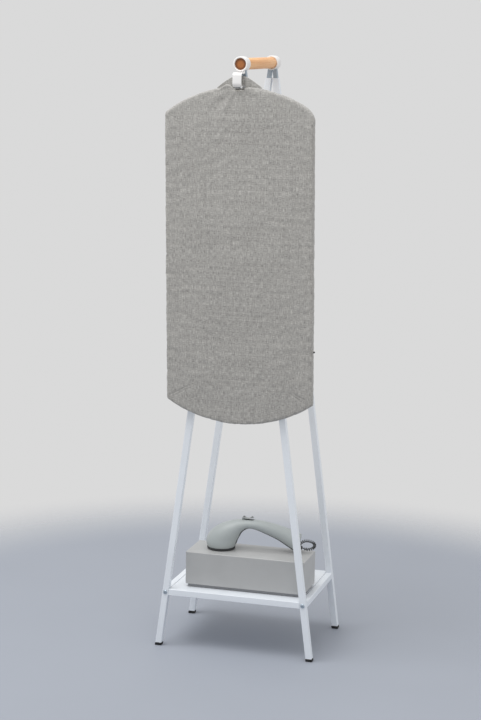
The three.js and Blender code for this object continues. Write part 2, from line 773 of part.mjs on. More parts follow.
function pinHole() {
  return rodY(PIN_RADIUS + GAP, PIN_LENGTH + 1).translate(LEVER_PIVOT_X, 0, LEVER_PIVOT_Z);
}

// The thumb lever: a saddle above the body on a stem that turns on the pin.
function thumbLever() {
  const shape = new THREE.Shape();
  shape.moveTo(-4, -3.5);
  shape.lineTo(4, -3.5);
  shape.lineTo(4, 8.4);
  shape.lineTo(24, 8.4);
  shape.lineTo(26, 12.2);
  shape.quadraticCurveTo(18, 12.6, 12, 11.6);
  shape.quadraticCurveTo(4, 12.4, -3, 15.4);
  shape.lineTo(-4.6, 12.6);
  shape.closePath();
  const front = -LEVER_WIDTH / 2;
  const body = slabXZ(shape, front, -front, 5);
  return cut(body, rodY(PIN_RADIUS + GAP, 2 * LEVER_WIDTH));
}

function buildHandset() {
  const handset = new THREE.Group();
  handset.position.set(HANDSET_X, HANDSET_Y, BASE.top + GAP);
  handset.rotation.z = HANDSET_TURN;
  addPart(handset, "handset_shell_front", handsetShell(-1), handsetPlastic);
  addPart(handset, "handset_shell_rear", handsetShell(1), handsetPlastic);

  const sole = [
    { outer: [-34, 0], inner: [34, 0], half: 32 },
    { outer: [-36, 2], inner: [36, 2], half: 34.5 },
    { outer: [-36, SOLE_HEIGHT], inner: [36, SOLE_HEIGHT], half: 34.5 },
  ];
  addPart(handset, "steam_sole", loft(sole, 0, 28), darkPlastic);
  const chamber = rodZ(24, 12).scale(1, 0.94, 1);
  addPart(handset, "steam_chamber", chamber, aluminium, [0, 0, SOLE_HEIGHT + 6 + GAP]);
  const pipe = bar(
    [
      [4, 0, SOLE_HEIGHT + 12 + 2 * GAP],
      [4, 0, 26],
      [9, 0, 38],
      [24, 0, 52],
      [52, 0, 62],
      [90, 0, 62.5],
      [130, 0, 52],
      [165, 0, 36],
      [exit.x - 2, 0, exit.z + 2],
    ],
    2.5,
    8,
    18,
  );
  addPart(handset, "steam_pipe", pipe, silicone);
  const lid = 3;
  const endCap = loft([moved(tail, alongTail(GAP)), moved(tail, alongTail(lid))], 1, 20);
  addPart(handset, "tail_cap", endCap, darkPlastic);

  const relief = new THREE.CylinderGeometry(4.4, 6.5, 10, 16).rotateZ(-Math.PI / 2);
  const nose = addPart(handset, "cord_strain_relief", relief, darkPlastic);
  const [reliefX, reliefZ] = alongTail(lid + GAP + 5);
  nose.position.set(exit.x + reliefX, 0, exit.z + reliefZ);
  nose.rotation.y = Math.asin(-tailAxis[1]);

  const lever = new THREE.Group();
  lever.position.set(LEVER_PIVOT_X, 0, LEVER_PIVOT_Z);
  addPart(lever, "thumb_lever", thumbLever(), darkPlastic);
  handset.add(lever);
  const pin = rodY(PIN_RADIUS, PIN_LENGTH);
  addPart(handset, "lever_pin", pin, bareSteel, [LEVER_PIVOT_X, 0, LEVER_PIVOT_Z]);
  const contact = block([-6, -4, -3], [6, 4, 3]);
  addPart(handset, "steam_switch", contact, darkPlastic, [LEVER_PIVOT_X + 20, 0, 74.4]);
  return handset;
}

// ---------------------------------------------------------------- curly cord
// From the handset's tail, right across the lid, round and back over its rear edge, down behind the
// base unit, along the shelf and into the gland.
function cordRoute() {
  const nose = 10 + 3 + 2 * GAP;
  const onTail = (distance) => {
    const [dx, dz] = alongTail(distance);
    const point = new THREE.Vector3(exit.x + dx, 0, exit.z + dz);
    point.applyAxisAngle(new THREE.Vector3(0, 0, 1), HANDSET_TURN);
    return point.add(new THREE.Vector3(HANDSET_X, HANDSET_Y, BASE.top + GAP)).toArray();
  };
  const rest = SHELF_Z + TUBE / 2 + CORD_RADIUS + 0.5;
  const glandEnd = baseHigh + 9 + GAP;
  return [
    onTail(nose),
    onTail(nose + 7),
    [161, -20.4, 253],
    [168.3, -14.8, 253.8],
    [172, -6, 256.2],
    [171.2, 3.2, 259.8],
    [165.5, 10.6, 263],
    [156.5, 14, 265],
    [146.5, 15.8, 265],
    [137, 18, 261.5],
    [129, 20.5, 254.5],
    [123.5, 22, 242],
    [120.5, 23, 226],
    [119, 23.5, 206],
    [117.5, 24.5, 187],
    [114, 28, 170],
    [106, 35, 160],
    [96, 46, rest],
    [85, 62, rest],
    [69, 80, rest],
    [48, 94, rest],
    [23, 100, rest],
    [0, 93, rest],
    [-13, 77, rest],
    [-14, 62, rest + 1],
    [-10.5, 49, rest + 5],
    [-7.3, 38, OUTLET.z - 5],
    [OUTLET.x, glandEnd + 7, OUTLET.z],
    [OUTLET.x, glandEnd, OUTLET.z],
  ];
}

// ---------------------------------------------------------------- assembly
const station = new THREE.Group();
const product = new THREE.Group();
product.position.y = -(HOOK_REACH + COLLAR_REACH) / 2;
product.add(buildStand(), buildBoard(), buildBaseUnit(), buildHandset());
addPart(product, "curly_cord", bar(cordRoute(), CORD_RADIUS, 8, 56), cordGrey);
station.add(product);

export default station;
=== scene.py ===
"""Garment steaming and pressing station: its looks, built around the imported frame. Metres, +Z up."""

import json
import math

import bmesh
import bpy
import numpy as np
from mathutils import Matrix, Vector, noise


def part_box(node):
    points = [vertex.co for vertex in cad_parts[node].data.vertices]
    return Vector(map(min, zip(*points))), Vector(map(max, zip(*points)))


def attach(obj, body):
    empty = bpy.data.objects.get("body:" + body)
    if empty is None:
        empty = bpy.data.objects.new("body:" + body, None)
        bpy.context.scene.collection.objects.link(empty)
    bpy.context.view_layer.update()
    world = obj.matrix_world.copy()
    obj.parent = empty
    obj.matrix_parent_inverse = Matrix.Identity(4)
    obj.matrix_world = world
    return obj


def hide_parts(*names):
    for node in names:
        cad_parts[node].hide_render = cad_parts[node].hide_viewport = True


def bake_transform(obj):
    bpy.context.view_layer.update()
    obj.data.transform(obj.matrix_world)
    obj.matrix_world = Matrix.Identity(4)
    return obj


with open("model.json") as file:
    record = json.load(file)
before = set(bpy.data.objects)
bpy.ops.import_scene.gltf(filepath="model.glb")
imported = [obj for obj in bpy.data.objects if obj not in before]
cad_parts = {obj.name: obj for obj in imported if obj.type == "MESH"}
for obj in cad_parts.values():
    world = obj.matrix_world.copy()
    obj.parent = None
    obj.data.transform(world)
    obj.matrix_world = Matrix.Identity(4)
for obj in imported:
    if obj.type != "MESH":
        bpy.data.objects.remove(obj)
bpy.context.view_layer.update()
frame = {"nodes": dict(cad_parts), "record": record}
MM = 0.001


# ---------------------------------------------------------------- camera
def make_camera():
    """Eye height 1.54 m, a little to the right of the object and tipped down."""
    yaw, pitch, roll = 0.2854, 0.1763, 0.0152
    level = Vector((-math.sin(yaw), math.cos(yaw), 0))
    right = Vector((math.cos(yaw), math.sin(yaw), 0))
    up = Vector((0, 0, 1))
    ahead = level * math.cos(pitch) - up * math.sin(pitch)
    above = level * math.sin(pitch) + up * math.cos(pitch)
    cam_right = right * math.cos(roll) + above * math.sin(roll)
    cam_up = above * math.cos(roll) - right * math.sin(roll)
    data = bpy.data.cameras.new("camera")
    data.lens = 91.66
    data.clip_end = 60
    camera = bpy.data.objects.new("camera", data)
    axes = Matrix((cam_right, cam_up, -ahead)).transposed()
    camera.matrix_world = Matrix.Translation((1.2569, -4.38275, 1.543)) @ axes.to_4x4()
    bpy.context.scene.collection.objects.link(camera)
    bpy.context.scene.camera = camera


make_camera()


# ---------------------------------------------------------------- mesh helpers
def add_object(name, mesh, material=None):
    piece = bpy.data.objects.new(name, mesh)
    bpy.context.scene.collection.objects.link(piece)
    if material:
        mesh.materials.clear()
        mesh.materials.append(material)
    return piece


def mesh_from(name, points, faces, smooth_angle=40):
    mesh = bpy.data.meshes.new(name)
    mesh.from_pydata([tuple(p) for p in points], [], faces)
    mesh.update()
    return finish_mesh(mesh, smooth_angle)


def finish_mesh(mesh, smooth_angle=40):
    """Faces out, shaded smooth except at edges sharper than the angle."""
    work = bmesh.new()
    work.from_mesh(mesh)
    bmesh.ops.recalc_face_normals(work, faces=work.faces)
    for face in work.faces:
        face.smooth = True
    work.to_mesh(mesh)
    work.free()
    mesh.set_sharp_from_angle(angle=math.radians(smooth_angle))
    return mesh


def bake(piece):
    """Applies a piece's modifiers."""
    bpy.context.view_layer.update()
    evaluated = piece.evaluated_get(bpy.context.evaluated_depsgraph_get())
    mesh = bpy.data.meshes.new_from_object(evaluated)
    piece.modifiers.clear()
    piece.data = mesh


def catmull(points, count):
    """Evenly spaced points on a smooth curve through the given ones."""
    p = np.array(points, float)
    ends = [2 * p[0] - p[1]], [2 * p[-1] - p[-2]]
    p = np.concatenate([ends[0], p, ends[1]])
    dense = []
    for i in range(1, len(p) - 2):
        for t in np.linspace(0, 1, 40, endpoint=False):
            a, b, c, d = p[i - 1 : i + 3]
            dense.append(
                0.5
                * (
                    2 * b
                    + (c - a) * t
                    + (2 * a - 5 * b + 4 * c - d) * t**2
                    + (3 * b - a - 3 * c + d) * t**3
                )
            )
    dense.append(p[-2])
    dense = np.array(dense)
    run = np.concatenate([[0], np.cumsum(np.linalg.norm(np.diff(dense, axis=0), axis=1))])
    at = np.linspace(0, run[-1], count)
    return np.stack([np.interp(at, run, dense[:, k]) for k in range(dense.shape[1])], axis=1)


def length_of(points):
    return float(np.linalg.norm(np.diff(np.array(points), axis=0), axis=1).sum())


def frames_along(path):
    """Two directions across the path at each of its points, turning as little as they can."""
    tangents = np.gradient(path, axis=0)
    tangents /= np.linalg.norm(tangents, axis=1)[:, None]
    start = np.cross(tangents[0], [0.3, 0.2, 1.0])
    across = [start / np.linalg.norm(start)]
    for t in tangents[1:]:
        side = across[-1] - t * np.dot(across[-1], t)
        across.append(side / np.linalg.norm(side))
    across = np.array(across)
    return tangents, across, np.cross(tangents, across)


def band(count, rings, base=0):
    """The faces between neighbouring rings of count points each."""
    faces = []
    for i in range(rings - 1):
        for k in range(count):
            a, b = base + i * count + k, base + i * count + (k + 1) % count
            faces.append((a, b, b + count, a + count))
    return faces


def tube(name, path, radius, sides=10):
    """A round tube with closed ends along a path."""
    _, across, other = frames_along(np.array(path))
    points = []
    for i, centre in enumerate(path):
        for k in range(sides):
            turn = 2 * math.pi * k / sides
            points.append(centre + radius * (math.cos(turn) * across[i] + math.sin(turn) * other[i]))
    last = len(path) - 1
    faces = band(sides, len(path))
    faces.append(tuple(range(sides)))
    faces.append(tuple(last * sides + k for k in reversed(range(sides))))
    return mesh_from(name, points, faces, 60)


def lathe(name, profile, centre, axis, sides=96, smooth_angle=40):
    """A solid of revolution. The profile is (radius, distance along the axis), and ends on the axis
    or closes on itself. A radius may be a function of the angle."""
    along = Vector(axis).normalized()
    across = along.orthogonal().normalized()
    other = along.cross(across)
    centre = Vector(centre)
    rings, points, faces = [], [], []
    for radius, run in profile:
        if not callable(radius) and radius < 1e-7:
            rings.append([len(points)] * sides)
            points.append(centre + along * run)
            continue
        rings.append(list(range(len(points), len(points) + sides)))
        for k in range(sides):
            turn = 2 * math.pi * k / sides
            spoke = across * math.cos(turn) + other * math.sin(turn)
            reach = radius(turn) if callable(radius) else radius
            points.append(centre + along * run + spoke * reach)
    for lower, upper in zip(rings, rings[1:]):
        for k in range(sides):
            corners = [lower[k], lower[(k + 1) % sides], upper[(k + 1) % sides], upper[k]]
            unique = list(dict.fromkeys(corners))
            if len(unique) > 2:
                faces.append(unique)
    mesh = mesh_from(name, points, faces, smooth_angle)
    weld(mesh)
    return mesh


def weld(mesh, distance=1e-6):
    work = bmesh.new()
    work.from_mesh(mesh)
    bmesh.ops.remove_doubles(work, verts=work.verts, dist=distance)
    work.to_mesh(mesh)
    work.free()


def round_edges(work, pick, width, segments):
    """Rounds those edges for which pick(middle, length) is true."""
    chosen = []
    for edge in work.edges:
        if len(edge.link_faces) != 2 or edge.calc_face_angle(0) < math.radians(25):
            continue
        middle = (edge.verts[0].co + edge.verts[1].co) / 2
        if pick(middle, edge.calc_length()):
            chosen.append(edge)
    bmesh.ops.bevel(
        work,
        geom=chosen,
        offset=width,
        segments=segments,
        profile=0.5,
        affect="EDGES",
        clamp_overlap=False,
    )


def in_fixed_order(work, name):
    """A mesh whose faces come in the same order, from the same corner, on each run."""
    work.verts.index_update()
    faces = []
    for face in work.faces:
        ring = [v.index for v in face.verts]
        start = ring.index(min(ring))
        faces.append(tuple(ring[start:] + ring[:start]))
    mesh = bpy.data.meshes.new(name)
    mesh.from_pydata([v.co.copy() for v in work.verts], [], sorted(faces))
    mesh.update()
    work.free()
    return mesh


def longer_than(least):
    return lambda middle, length: length > least


def refined(node, material, *roundings, smooth_angle=35):
    """A CAD node's own shape with rounded edges, standing for that node.
    Each rounding is (which edges, width, segments)."""
    source = frame["nodes"][node]
    work = bmesh.new()
    work.from_mesh(source.data)
    bmesh.ops.remove_doubles(work, verts=work.verts, dist=2e-6)
    flat = math.radians(0.5)
    bmesh.ops.dissolve_limit(work, angle_limit=flat, verts=work.verts, edges=work.edges)
    for pick, width, segments in roundings:
        round_edges(work, pick, width, segments)
    bmesh.ops.triangulate(work, faces=[f for f in work.faces if len(f.verts) > 8])
    mesh = in_fixed_order(work, node + "_finish")
    finish_mesh(mesh, smooth_angle)
    piece = add_object(node + "_finish", mesh, material)
    even = piece.modifiers.new("flat faces, soft edges", "WEIGHTED_NORMAL")
    even.keep_sharp = True
    even.weight = 100
    bake(piece)
    return settle(piece, node)


def body_with(node):
    for body, nodes in frame["record"]["behaviour"]["bodies"].items():
        if node in nodes:
            return body
    raise ValueError(node)


def settle(piece, *nodes):
    """The piece stands for these CAD nodes and moves and is classed as they are."""
    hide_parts(*nodes)
    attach(piece, body_with(nodes[0]))
    return piece


# ---------------------------------------------------------------- material helpers
class Surface:
    """One material, and short calls that add nodes to it."""

    def __init__(self, name, roughness, metallic=0.0):
        self.material = bpy.data.materials.new(name)
        self.material.use_nodes = True
        self.tree = self.material.node_tree
        self.shader = self.tree.nodes["Principled BSDF"]
        self.shader.inputs["Roughness"].default_value = roughness
        self.shader.inputs["Metallic"].default_value = metallic
        self.place = self.add("ShaderNodeTexCoord").outputs["Object"]

    def add(self, kind, **settings):
        node = self.tree.nodes.new(kind)
        for key, value in settings.items():
            setattr(node, key, value)
        return node

    def set(self, socket, value):
        if isinstance(value, bpy.types.NodeSocket):
            self.tree.links.new(value, socket)
        else:
            socket.default_value = value

    def scaled(self, vector, x, y, z):
        node = self.add("ShaderNodeMapping")
        node.inputs["Scale"].default_value = (x, y, z)
        self.set(node.inputs["Vector"], vector)
        return node.outputs["Vector"]

    def stretched(self, x, y, z):
        return self.scaled(self.place, x, y, z)

    def noise(self, scale, detail=2.0, vector=None, rough=0.5):
        node = self.add("ShaderNodeTexNoise")
        node.inputs["Scale"].default_value = scale
        node.inputs["Detail"].default_value = detail
        node.inputs["Roughness"].default_value = rough
        self.set(node.inputs["Vector"], vector or self.place)
        return node.outputs["Fac"]

    def math(self, operation, a, b=0.0):
        node = self.add("ShaderNodeMath", operation=operation)
        self.set(node.inputs[0], a)
        self.set(node.inputs[1], b)
        return node.outputs[0]

    def axis(self, index, vector=None):
        node = self.add("ShaderNodeSeparateXYZ")
        self.set(node.inputs[0], vector or self.place)
        return node.outputs[index]

    def ramp(self, value, *stops):
        """A colour ramp. Each stop is (position, linear RGB)."""
        node = self.add("ShaderNodeValToRGB")
        elements = node.color_ramp.elements
        while len(elements) < len(stops):
            elements.new(0.5)
        for element, (position, colour) in zip(elements, stops):
            element.position = position
            element.color = (*colour, 1)
        self.set(node.inputs["Fac"], value)
        return node.outputs["Color"]

    def between(self, value, low, high):
        """Spreads a 0 to 1 value over low to high."""
        node = self.add("ShaderNodeMapRange")
        node.inputs["To Min"].default_value = low
        node.inputs["To Max"].default_value = high
        self.set(node.inputs["Value"], value)
        return node.outputs["Result"]

    def colour(self, value):
        self.set(self.shader.inputs["Base Color"], value)

    def roughness(self, value):
        self.set(self.shader.inputs["Roughness"], value)

    def bump(self, height, distance, strength=1.0):
        node = self.add("ShaderNodeBump")
        node.inputs["Distance"].default_value = distance
        node.inputs["Strength"].default_value = strength
        self.set(node.inputs["Height"], height)
        self.set(self.shader.inputs["Normal"], node.outputs["Normal"])


def shade(colour, factor):
    return tuple(min(1.0, c * factor) for c in colour)


# ---------------------------------------------------------------- materials
def powder_coat(name, white):
    """White powder coat: faint orange peel, and slightly greyer where hands and dust reach."""
    paint = Surface(name, 0.36)
    smudge = paint.noise(9, 4)
    paint.colour(paint.ramp(smudge, (0.3, shade(white, 0.955)), (0.62, white)))
    paint.roughness(paint.between(paint.noise(45, 3), 0.3, 0.44))
    paint.bump(paint.noise(780, 2), 0.00004)
    return paint.material


def moulded(name, colour, roughness, grain_size=0.0006, depth=0.00003, mottle=0.94):
    """Moulded plastic with a fine spark-eroded grain and a cloudy change of tone."""
    plastic = Surface(name, roughness)
    cloud = plastic.noise(16, 4)
    plastic.colour(plastic.ramp(cloud, (0.32, shade(colour, mottle)), (0.68, colour)))
    plastic.roughness(plastic.between(plastic.noise(60, 3), roughness - 0.06, roughness + 0.07))
    plastic.bump(plastic.noise(1 / grain_size, 3), depth)
    return plastic.material


def lever_plastic():
    """Grey, turning darker towards the tops of both horns."""
    plastic = Surface("lever_grey_plastic", 0.45)
    horns_from = 0.3292
    height = plastic.math("MULTIPLY", plastic.math("SUBTRACT", plastic.axis(2), horns_from), 400)
    speckle = plastic.math("MULTIPLY", plastic.noise(900, 3), 0.2)
    tone = plastic.math("ADD", height, speckle)
    plastic.colour(plastic.ramp(tone, (0.1, (0.29, 0.31, 0.31)), (0.6, (0.085, 0.09, 0.092))))
    plastic.bump(plastic.noise(1600, 3), 0.00003)
    return plastic.material


def rubber():
    matt = Surface("black_rubber", 0.72)
    black = (0.008, 0.008, 0.009)
    dust = matt.noise(120, 5)
    matt.colour(matt.ramp(dust, (0.4, black), (0.75, (0.025, 0.024, 0.024))))
    matt.bump(matt.noise(1500, 3), 0.00006)
    return matt.material


def brushed(name, colour, roughness, along=(1, 1, 0.03)):
    """Metal with fine lines along one direction."""
    metal = Surface(name, roughness, 1.0)
    lines = metal.noise(1400, 4, metal.stretched(*along))
    metal.colour(metal.ramp(lines, (0.3, shade(colour, 0.82)), (0.7, colour)))
    metal.roughness(metal.between(lines, roughness - 0.08, roughness + 0.1))
    metal.bump(lines, 0.00002)
    return metal.material


def beech_side():
    """Beech along the grain: straight fibres, growth lines and the short dark flecks of its rays."""
    wood = Surface("beech_side", 0.46)
    fibres = wood.noise(520, 5, wood.stretched(1, 0.03, 1), 0.6)
    growth = wood.noise(130, 3, wood.stretched(1, 0.06, 1))
    rays = wood.noise(900, 2, wood.stretched(1, 0.11, 1))
    tone = wood.math("ADD", wood.math("MULTIPLY", fibres, 0.55), wood.math("MULTIPLY", growth, 0.45))
    base = wood.ramp(
        tone,
        (0.34, (0.66, 0.31, 0.125)),
        (0.50, (0.80, 0.43, 0.19)),
        (0.66, (0.88, 0.54, 0.28)),
    )
    fleck = wood.ramp(rays, (0.66, (1, 1, 1)), (0.74, (0.62, 0.52, 0.42)))
    mix = wood.add("ShaderNodeMix", data_type="RGBA", blend_type="MULTIPLY")
    wood.set(mix.inputs["Factor"], 0.8)
    wood.set(mix.inputs["A"], base)
    wood.set(mix.inputs["B"], fleck)
    wood.colour(mix.outputs["Result"])
    wood.roughness(wood.between(fibres, 0.38, 0.56))
    wood.bump(fibres, 0.00005)
    return wood.material


def beech_end(centre):
    """End grain: growth rings round a point off the middle, with painted shade darkening it towards the rim,
    where the collar's bore shades it.
    """
    wood = Surface("beech_end", 0.5)
    x = wood.math("SUBTRACT", wood.axis(0), centre[0] + 0.004)
    z = wood.math("SUBTRACT", wood.axis(2), centre[2] - 0.007)
    wobble = wood.math("MULTIPLY", wood.noise(140, 3), 0.0016)
    out = wood.math("ADD", distance_of(wood, x, z), wobble)
    rings = wood.math("SINE", wood.math("MULTIPLY", out, 3300))
    pores = wood.noise(2600, 2)
    tone = wood.math("ADD", wood.math("MULTIPLY", rings, 0.16), pores)
    x0 = wood.math("SUBTRACT", wood.axis(0), centre[0])
    z0 = wood.math("SUBTRACT", wood.axis(2), centre[2])
    rim = wood.math("MULTIPLY", distance_of(wood, x0, z0), 71.4)  # 1 at the dowel's surface
    base = wood.ramp(tone, (0.3, (0.255, 0.08, 0.017)), (0.62, (0.42, 0.153, 0.038)))
    # Painted shade: the end grain darkens towards the rim, standing for the shadow inside the collar's bore.
    dark = wood.ramp(rim, (0.45, (1, 1, 1)), (0.78, (0.5, 0.44, 0.4)), (1.0, (0.3, 0.25, 0.22)))
    mix = wood.add("ShaderNodeMix", data_type="RGBA", blend_type="MULTIPLY")
    wood.set(mix.inputs["Factor"], 1.0)
    wood.set(mix.inputs["A"], base)
    wood.set(mix.inputs["B"], dark)
    wood.colour(mix.outputs["Result"])
    wood.bump(tone, 0.00006)
    return wood.material


def distance_of(surface, a, b):
    squares = surface.math(
        "ADD", surface.math("MULTIPLY", a, a), surface.math("MULTIPLY", b, b)
    )
    return surface.math("SQRT", squares)


def melange():
    """Grey heathered linen weave: slubbed threads both ways, light and dark fibres mixed."""
    cloth = Surface("grey_melange", 0.92)
    around = cloth.math("ADD", cloth.axis(0), cloth.axis(1))
    up = cloth.axis(2)
    flat = cloth.add("ShaderNodeCombineXYZ")
    cloth.set(flat.inputs[0], around)
    cloth.set(flat.inputs[2], up)
    flat = flat.outputs[0]
    layers = (  # threads across, threads up, long slubs across and up, single fibres, faded patches
        (cloth.noise(900, 2, cloth.scaled(flat, 0.13, 1, 1)), 0.27),
        (cloth.noise(900, 2, cloth.scaled(flat, 1, 1, 0.09)), 0.31),
        (cloth.noise(600, 2, cloth.scaled(flat, 0.006, 1, 1)), 0.13),
        (cloth.noise(600, 2, cloth.scaled(flat, 1, 1, 0.012)), 0.12),
        (cloth.noise(2400, 2), 0.14),
        (cloth.noise(14, 4, None, 0.6), 0.03),
    )
    tone = cloth.math("MULTIPLY", *layers[0])
    for layer, share in layers[1:]:
        tone = cloth.math("ADD", tone, cloth.math("MULTIPLY", layer, share))
    cloth.colour(
        cloth.ramp(
            tone,
            (0.40, (0.185, 0.18, 0.172)),
            (0.50, (0.35, 0.34, 0.322)),
            (0.525, (0.385, 0.376, 0.356)),
            (0.62, (0.60, 0.59, 0.56)),
        )
    )
    pitch = 2 * math.pi / 0.0011
    over = cloth.math("SINE", cloth.math("MULTIPLY", around, pitch))
    under = cloth.math("SINE", cloth.math("MULTIPLY", up, pitch))
    weave = cloth.math("MULTIPLY", over, under)
    height = cloth.math("ADD", cloth.math("MULTIPLY", weave, 0.35), cloth.math("MULTIPLY", tone, 2.0))
    cloth.bump(height, 0.00022)
    cloth.shader.inputs["Sheen Weight"].default_value = 0.25
    cloth.shader.inputs["Sheen Roughness"].default_value = 0.6
    return cloth.material


def felt():
    wool = Surface("felt", 1.0)
    fluff = wool.noise(700, 6, None, 0.7)
    wool.colour(wool.ramp(fluff, (0.35, (0.55, 0.53, 0.48)), (0.65, (0.76, 0.73, 0.67))))
    wool.bump(fluff, 0.0004)
    return wool.material


def plywood():
    """Sanded birch ply seen on its face: wide cathedral figure along the board's height."""
    wood = Surface("plywood_face", 0.6)
    figure = wood.noise(34, 5, wood.stretched(1, 1, 0.12), 0.55)
    fibres = wood.noise(700, 3, wood.stretched(1, 1, 0.04))
    tone = wood.math("ADD", wood.math("MULTIPLY", figure, 0.7), wood.math("MULTIPLY", fibres, 0.3))
    wood.colour(
        wood.ramp(
            tone,
            (0.36, (0.46, 0.31, 0.17)),
            (0.50, (0.60, 0.44, 0.26)),
            (0.64, (0.68, 0.53, 0.34)),
        )
    )
    wood.bump(fibres, 0.00005)
    return wood.material


def smoky_plastic():
    clear = Surface("smoky_clear_plastic", 0.12)
    grey = (0.42, 0.47, 0.5)
    clear.colour(clear.ramp(clear.noise(12, 3), (0.3, shade(grey, 0.93)), (0.7, grey)))
    clear.roughness(clear.between(clear.noise(80, 3), 0.08, 0.18))
    clear.shader.inputs["Transmission Weight"].default_value = 0.55
    clear.shader.inputs["IOR"].default_value = 1.49
    return clear.material


WHITE = powder_coat("white_powder_coat", (0.78, 0.82, 0.87))
FITTINGS = powder_coat("fittings_powder_coat", (0.80, 0.79, 0.785))
RUBBER = rubber()
STEEL = brushed("zinc_plated_steel", (0.46, 0.53, 0.60), 0.42)
BEECH = beech_side()
MELANGE = melange()
FELT = felt()
PLYWOOD = plywood()
HOUSING = moulded("light_grey_plastic", (0.435, 0.44, 0.44), 0.42)
HANDSET = moulded("handset_grey_plastic", (0.41, 0.445, 0.445), 0.4)
PLINTH = moulded("plinth_grey_plastic", (0.27, 0.275, 0.29), 0.5)
# Dark strip under the handle: partly a gasket, partly painted shade standing for the self-shadowed
# underside.
GASKET_AND_SHADE = moulded("underside_gasket_and_painted_shade", (0.07, 0.073, 0.075), 0.55)
DARK = moulded("near_black_plastic", (0.035, 0.036, 0.038), 0.5)
CLEAR = smoky_plastic()
ALUMINIUM = brushed("cast_aluminium", (0.62, 0.63, 0.64), 0.5, (1, 1, 1))
SILICONE = moulded("silicone_rubber", (0.66, 0.63, 0.58), 0.55, 0.0008)
CIRCUIT = moulded("circuit_board_green", (0.03, 0.13, 0.06), 0.35, 0.002)
CORD = moulded("cord_sheath", (0.055, 0.058, 0.06), 0.42, 0.0005)
LEVER = lever_plastic()

PLAIN = {
    "white_paint": WHITE,
    "black_rubber": RUBBER,
    "bare_steel": STEEL,
    "beech": BEECH,
    "melange_cover": MELANGE,
    "felt": FELT,
    "plywood": PLYWOOD,
    "housing_plastic": HOUSING,
    "handset_plastic": HANDSET,
    "dark_plastic": DARK,
    "clear_plastic": CLEAR,
    "cast_aluminium": ALUMINIUM,
    "silicone": SILICONE,
    "circuit_board": CIRCUIT,
    "cord_sheath": CORD,
}
for part in frame["record"]["subparts"]:
    node = frame["nodes"][part["node"]]
    node.data.materials.clear()
    node.data.materials.append(PLAIN[part["material_slot"]])


# ---------------------------------------------------------------- the curly cord
CORD_LENGTH = 0.4175
CORD_DIAMETER = 8.4 * MM
WIRE_RADIUS = 1.3 * MM
CURL_PITCH = 5.8 * MM
CURL_STEPS = 14  # points in one turn of the helix
CORD_ROUTE = [  # in millimetres, from the handset's strain relief to the gland
    (145.37, -9.26, 256.08),
    (152.12, -8.47, 254.4),
    (161, -7.15, 253),
    (168.3, -1.55, 253.8),
    (172, 7.25, 256.2),
    (171.2, 16.45, 259.8),
    (165.5, 23.85, 263),
    (156.5, 27.25, 265),
    (146.5, 29.05, 265),
    (137, 31.25, 261.5),
    (129, 33.75, 254.5),
    (123.5, 35.25, 242),
    (120.5, 36.25, 226),
    (119, 36.75, 206),
    (117.5, 37.75, 187),
    (114, 41.25, 170),
    (106, 48.25, 160),
    (96, 59.25, 155.7),
    (85, 75.25, 155.7),
    (69, 93.25, 155.7),
    (48, 107.25, 155.7),
    (23, 113.25, 155.7),
    (0, 106.25, 155.7),
    (-13, 90.25, 155.7),
    (-14, 75.25, 156.7),
    (-10.5, 62.25, 160.7),
    (-7.3, 51.25, 167),
    (-6, 38.55, 172),
    (-6, 31.55, 172),
]


def curly_cord():
    curls = round(CORD_LENGTH / CURL_PITCH)
    path = catmull(np.array(CORD_ROUTE) * MM, curls * CURL_STEPS + 1)
    _, across, other = frames_along(path)
    run = np.linspace(0, length_of(path), len(path))
    straight = np.clip(np.minimum(run, run[-1] - run) / (1.5 * CURL_PITCH), 0, 1)
    radius = (CORD_DIAMETER / 2 - WIRE_RADIUS) * straight**2 * (3 - 2 * straight)
    helix = []
    for i, centre in enumerate(path):
        turn = 2 * math.pi * i / CURL_STEPS
        helix.append(centre + radius[i] * (math.cos(turn) * across[i] + math.sin(turn) * other[i]))
    cord = add_object("curly_cord_wound", tube("curly_cord_wound", helix, WIRE_RADIUS, 8), CORD)
    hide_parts("curly_cord")
    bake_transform(cord)


curly_cord()


# ---------------------------------------------------------------- the stand
CORNERS = ("front_left", "front_right", "back_left", "back_right")
COLLAR_RADIUS = 18 * MM
DOWEL_RADIUS = 14 * MM


def middle_of(node):
    low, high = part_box(node)
    return (Vector(low) + Vector(high)) / 2


def legs_and_feet():
    tube_corners = (longer_than(0.1), 1.1 * MM, 3)
    for corner in CORNERS:
        refined("leg_" + corner, WHITE, tube_corners)
        refined("foot_" + corner, RUBBER, (longer_than(0.012), 1.0 * MM, 3))
        refined("leg_spigot_" + corner, STEEL, (longer_than(0.03), 0.8 * MM, 3))
        button_head_bolt("shelf_bolt_" + corner, -1 if corner.startswith("front") else 1)


def hexagon(apothem):
    sixth = math.pi / 3
    return lambda turn: apothem / math.cos((turn + sixth / 2) % sixth - sixth / 2)


def button_head_bolt(node, facing):
    """A domed head with a hexagonal socket, and its shank inside the rail."""
    middle = middle_of(node)
    low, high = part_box(node)
    face_y = low[1] if facing < 0 else high[1]
    seat = Vector((middle.x, face_y - facing * 3.2 * MM, middle.z))
    shank = -29.5 * MM
    key = hexagon(1.75 * MM)
    profile = [
        (0, shank),
        (2.6 * MM, shank),
        (3 * MM, shank + 0.4 * MM),
        (3 * MM, 0.3 * MM),
        (5.3 * MM, 0.3 * MM),
        (5.5 * MM, 0.6 * MM),
        (5.25 * MM, 1.3 * MM),
        (4.6 * MM, 2.1 * MM),
        (3.7 * MM, 2.75 * MM),
        (2.8 * MM, 3.05 * MM),
        (key, 3.15 * MM),
        (hexagon(1.6 * MM), 3.0 * MM),
        (hexagon(1.6 * MM), 1.4 * MM),
        (0, 1.1 * MM),
    ]
    mesh = lathe(node + "_head", profile, seat, (0, facing, 0), 48, 30)
    settle(add_object(node + "_head", mesh, STEEL), node)


